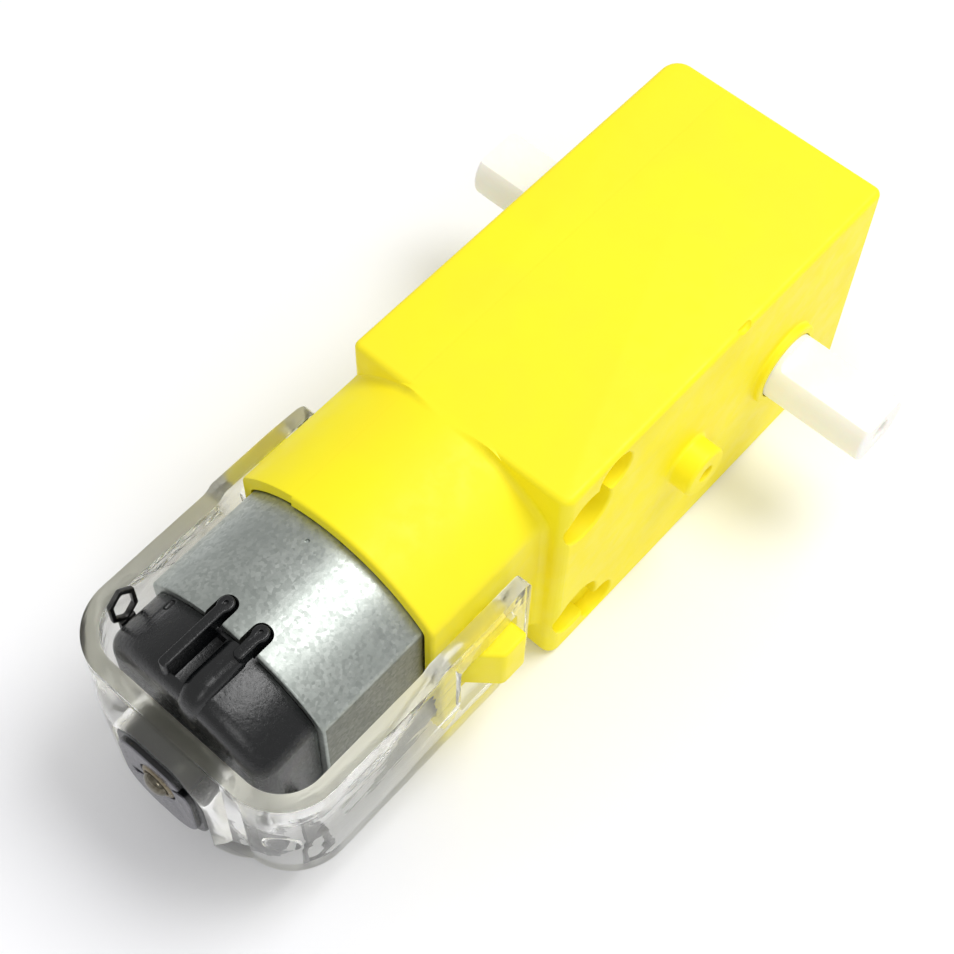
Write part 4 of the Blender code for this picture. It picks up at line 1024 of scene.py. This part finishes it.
def make_terminals():
    """Solder lugs with a six-sided eye, rounded like sheared and tinned sheet."""
    x = CAP_REAR_X + 2.55 * MM
    rear, front = x - 0.6 * MM, x + 0.6 * MM
    for name, side in (("terminal_left", 1), ("terminal_right", -1)):
        eye_z = MOTOR_Z + side * 6.8 * MM
        foot_z = MOTOR_Z + side * LUG_FOOT
        face = MOTOR_Y + side * 7.95 * MM
        low, high = sorted((face, face - side * 0.35 * MM))
        stem_low, stem_high = sorted((foot_z - side * 0.15 * MM, eye_z - side * 1.75 * MM))
        inner, outer = sorted((face, MOTOR_Y + side * 5.2 * MM))
        ring = lug_eye(x, eye_z, 1.25 * MM, 1.95 * MM)
        hole = lug_eye(x, eye_z, 0.86 * MM, 1.5 * MM)
        lug = solid(name + "_detail", prism(ring, low, high, "Y", 0.1 * MM, 0.1 * MM))
        combine(lug, adds=[block((rear, low, stem_low), (front, high, stem_high)),
                           block((rear, inner, foot_z - 0.17 * MM),
                                 (front, outer, foot_z + 0.17 * MM))])
        combine(lug, cuts=[prism(hole, low - 0.3 * MM, high + 0.3 * MM, "Y",
                                 -0.4 * MM, -0.4 * MM)])
        soften(lug, 0.07 * MM, 2, 50)
        show(lug, "tinned_lug", "root", name)


# ------ retaining strap

STRAP_THICKNESS = 1.2 * MM
STRAP_SPAN = 10.4 * MM
STRAP_BEND = 4.4 * MM
PAD_THICKNESS = 1.3 * MM
STRAP_REAR_X = strap_low.x + PAD_THICKNESS
ARM_FRONT_X = NECK_REAR_X + 7.8 * MM
ARCH_Y = MOTOR_Y + 0.3 * MM
CUT_REACH = 14 * MM
# The bow of the rear wall: depth below the rim in mm, and share of the full bow.
BOW_FADE = ((14, 1.0), (3.0, 1.0), (2.4, 0.94), (1.8, 0.78), (1.3, 0.52), (0.9, 0.26),
            (0.5, 0.06))


def strap_outline(inset):
    """The U of the strap, seen from above, drawn in from its outside by inset."""
    side = STRAP_SPAN - inset
    rear = STRAP_REAR_X + inset
    radius = STRAP_BEND - inset
    low = arc((rear + radius, MOTOR_Y - side + radius), radius, 270, 180, 16)
    high = arc((rear + radius, MOTOR_Y + side - radius), radius, 180, 90, 16)
    return [(ARM_FRONT_X, MOTOR_Y - side)] + low + high + [(ARM_FRONT_X, MOTOR_Y + side)]


def pad_mesh(low, high):
    """The rear wall's outward bow round the arch, which fades out towards the rim."""
    half, sunk = 6.9 * MM, 0.2 * MM
    inner = STRAP_REAR_X + 0.6 * MM
    rings = []
    for depth, share in BOW_FADE:
        out = sunk + PAD_THICKNESS * share
        outline = [(inner, ARCH_Y - half)]
        for place in (i / 16 - 1 for i in range(33)):
            bow = out * (1 - place ** 4)
            outline.append((STRAP_REAR_X + sunk - bow, ARCH_Y + half * place))
        outline.append((inner, ARCH_Y + half))
        rings.append((outline, max(low, high - depth * MM)))
    return loft(rings)


def dimple_mesh(heading, z):
    """A low flat oval on the outside of the strap's rear corner."""
    bend = (STRAP_REAR_X + STRAP_BEND, MOTOR_Y - STRAP_SPAN + STRAP_BEND)
    oval = [(1.3 * MM * u, 1.15 * MM * v) for u, v in circle((0, 0), 1.0, 48)]
    mesh = prism(oval, STRAP_BEND - 0.6 * MM, STRAP_BEND + 0.03 * MM, "X", 0, 0.05 * MM, 2)
    turn = Matrix.Rotation(radians(heading), 4, "Z")
    mesh.transform(Matrix.Translation((*bend, z)) @ turn)
    return mesh


def arm_cuts(low, top):
    """Tapers on the outside of the arms and rounded corners at their front ends."""
    meshes = []
    rear, front = ARM_FRONT_X - 4 * MM, ARM_FRONT_X + CLEAR
    for side in (-1, 1):
        wall = MOTOR_Y + side * STRAP_SPAN
        beyond = wall + side * CLEAR
        taper = [(rear, wall), (front, wall - side * 0.25 * MM), (front, beyond),
                 (rear, beyond)]
        meshes.append(prism(taper, 0, HEIGHT, "Z"))
    for z, way, radius in ((low, 1, 2.0 * MM), (top, -1, 1.0 * MM)):
        x, middle, beyond = ARM_FRONT_X - radius, z + way * radius, z - way * CLEAR
        bend = arc((x, middle), radius, 0, -90 * way, 8)
        corner = [(front, middle)] + bend + [(x, beyond), (front, beyond)]
        meshes.append(prism(corner, -CUT_REACH, CUT_REACH, "Y"))
    return meshes


def rim_cut(high, top):
    """What lowers the rear of the rim, with a soft step up to the arms."""
    rear, above = STRAP_REAR_X - 3 * MM, top + 2 * MM
    step = ARM_FRONT_X - 9.1 * MM
    outline = filleted([(rear, above, 0), (rear, high, 0), (step - 0.4 * MM, high, 0.9 * MM),
                        (step + 0.4 * MM, top, 0.9 * MM), (step + 2.4 * MM, top, 0),
                        (step + 2.4 * MM, above, 0)], 6)
    return prism(outline, MOTOR_Y - CUT_REACH, MOTOR_Y + CUT_REACH, "Y")


def window_cut():
    """The window in each arm that snaps over a hook."""
    rear, front, half = NECK_REAR_X + 0.7 * MM, NECK_REAR_X + 6.4 * MM, 3.1 * MM
    corner = 0.35 * MM
    outline = filleted([(rear, AXIS_Z - half, corner), (front, AXIS_Z - half, corner),
                        (front, AXIS_Z + half, corner), (rear, AXIS_Z + half, corner)], 5)
    return prism(outline, MOTOR_Y - CUT_REACH, MOTOR_Y + CUT_REACH, "Y")


def arch_cut():
    """The arch in the rear wall that clears the cap's plate."""
    half, crown, bend = 4.2 * MM, AXIS_Z + 3.4 * MM, 2.8 * MM
    outline = filleted([(ARCH_Y - half, 0, 0), (ARCH_Y + half, 0, 0),
                        (ARCH_Y + half, crown, bend), (ARCH_Y - half, crown, bend)], 12)
    return prism(outline, STRAP_REAR_X - 3 * MM, STRAP_REAR_X + 3 * MM, "X")


def make_strap():
    """The clear strap: a U band, windows over the hooks and an arch at the rear."""
    low, high, top = strap_low.z, AXIS_Z + 5.35 * MM, AXIS_Z + 5.95 * MM
    outline = strap_outline(0) + strap_outline(STRAP_THICKNESS)[::-1]
    strap = solid("clear_strap", prism(outline, low, top, "Z", 0.15 * MM, 0.15 * MM, 3))
    combine(strap, adds=[pad_mesh(low + 0.1 * MM, high), dimple_mesh(218, low + 5.4 * MM)],
            cuts=[rim_cut(high, top)])
    combine(strap, cuts=arm_cuts(low, top) + [window_cut(), arch_cut()])
    soften(strap, 0.12 * MM, 3, 40)
    show(strap, "clear_plastic", "root", "retaining_strap", angle=16)


# ------ carried-over nodes

CARRIED = {
    "idler_axle": "bright_steel", "front_bushing": "sintered_bronze",
    "magnet_upper": "ferrite", "magnet_lower": "ferrite", "magnet_spring": "bright_steel",
    "brush_left": "brush_copper", "brush_right": "brush_copper",
    "armature_core": "lamination_steel", "winding_a": "winding_copper",
    "winding_b": "winding_copper", "winding_c": "winding_copper",
    "commutator": "brush_copper", "motor_pinion": "pinion_brass",
    "crown_gear": "gear_acetal", "second_gear": "gear_acetal", "third_gear": "gear_acetal",
}


def dress_carried_nodes():
    """Materials for the pieces that are shown as the CAD made them."""
    for name, slot in CARRIED.items():
        mesh = nodes[name].data
        mesh.materials.clear()
        mesh.materials.append(MATERIALS[slot])


# ------ stage, light and camera

def make_stage():
    """A plain pale floor, a hair below the part."""
    reach = 1500 * MM
    floor = solid("floor", block((-reach, -reach, -20 * MM), (reach, reach, -0.2 * MM)))
    look = Shader("floor_white", (0.95, 0.95, 0.96), 0.6)
    cloud = look.noise(200 * MM, 2.0)
    look.colour(look.ramp(cloud, 0.3, 0.7), (0.95, 0.95, 0.965), (0.93, 0.93, 0.95))
    floor.data.materials.append(look.material)


def add_area(name, place, target, size, power):
    """A round soft lamp that looks at the target."""
    light = bpy.data.lights.new(name, "AREA")
    light.shape = "DISK"
    light.size = size
    light.energy = power
    item = bpy.data.objects.new(name, light)
    item.location = place
    aim = Vector(target) - Vector(place)
    item.rotation_euler = aim.to_track_quat("-Z", "Y").to_euler()
    bpy.context.scene.collection.objects.link(item)


def make_light():
    """An even sky with a large lamp from above and a weak one from behind the motor."""
    world = bpy.data.worlds.new("studio")
    world.use_nodes = True
    sky = world.node_tree.nodes["Background"]
    sky.inputs["Color"].default_value = (1.0, 1.0, 1.0, 1.0)
    sky.inputs["Strength"].default_value = 0.61
    scene = bpy.context.scene
    scene.world = world
    scene.view_settings.view_transform = "Standard"
    middle = (0, 0, AXIS_Z)
    add_area("key", (0.24, -0.145, 0.55), middle, 0.34, 2.05)
    add_area("second", (-0.28, -0.25, 0.38), middle, 0.2, 0.35)


CAMERA_PLACE = Vector((-50.27, -41.21, 123.99)) * MM
CAMERA_FORWARD = Vector((0.3848, 0.3208, -0.8655))
CAMERA_UP = Vector((0.6422, 0.5804, 0.5007))
FOCAL_LENGTH_MM = 69.6
SENSOR_WIDTH_MM = 36


def make_camera():
    """The camera stands over the motor's rear, on the housing side, looking down."""
    lens = bpy.data.cameras.new("camera")
    lens.lens = FOCAL_LENGTH_MM
    lens.sensor_width = SENSOR_WIDTH_MM
    lens.clip_start = 1 * MM
    camera = bpy.data.objects.new("camera", lens)
    forward = CAMERA_FORWARD.normalized()
    right = forward.cross(CAMERA_UP).normalized()
    up = right.cross(forward)
    turn = Matrix((right, up, -forward)).transposed().to_4x4()
    camera.matrix_world = Matrix.Translation(CAMERA_PLACE) @ turn
    bpy.context.scene.collection.objects.link(camera)
    bpy.context.scene.camera = camera


# ------ build

make_case()
make_screws()
make_output_shaft()
make_can()
make_cap()
make_bushing()
make_motor_shaft()
make_terminals()
make_strap()
dress_carried_nodes()
make_stage()
make_light()
make_camera()
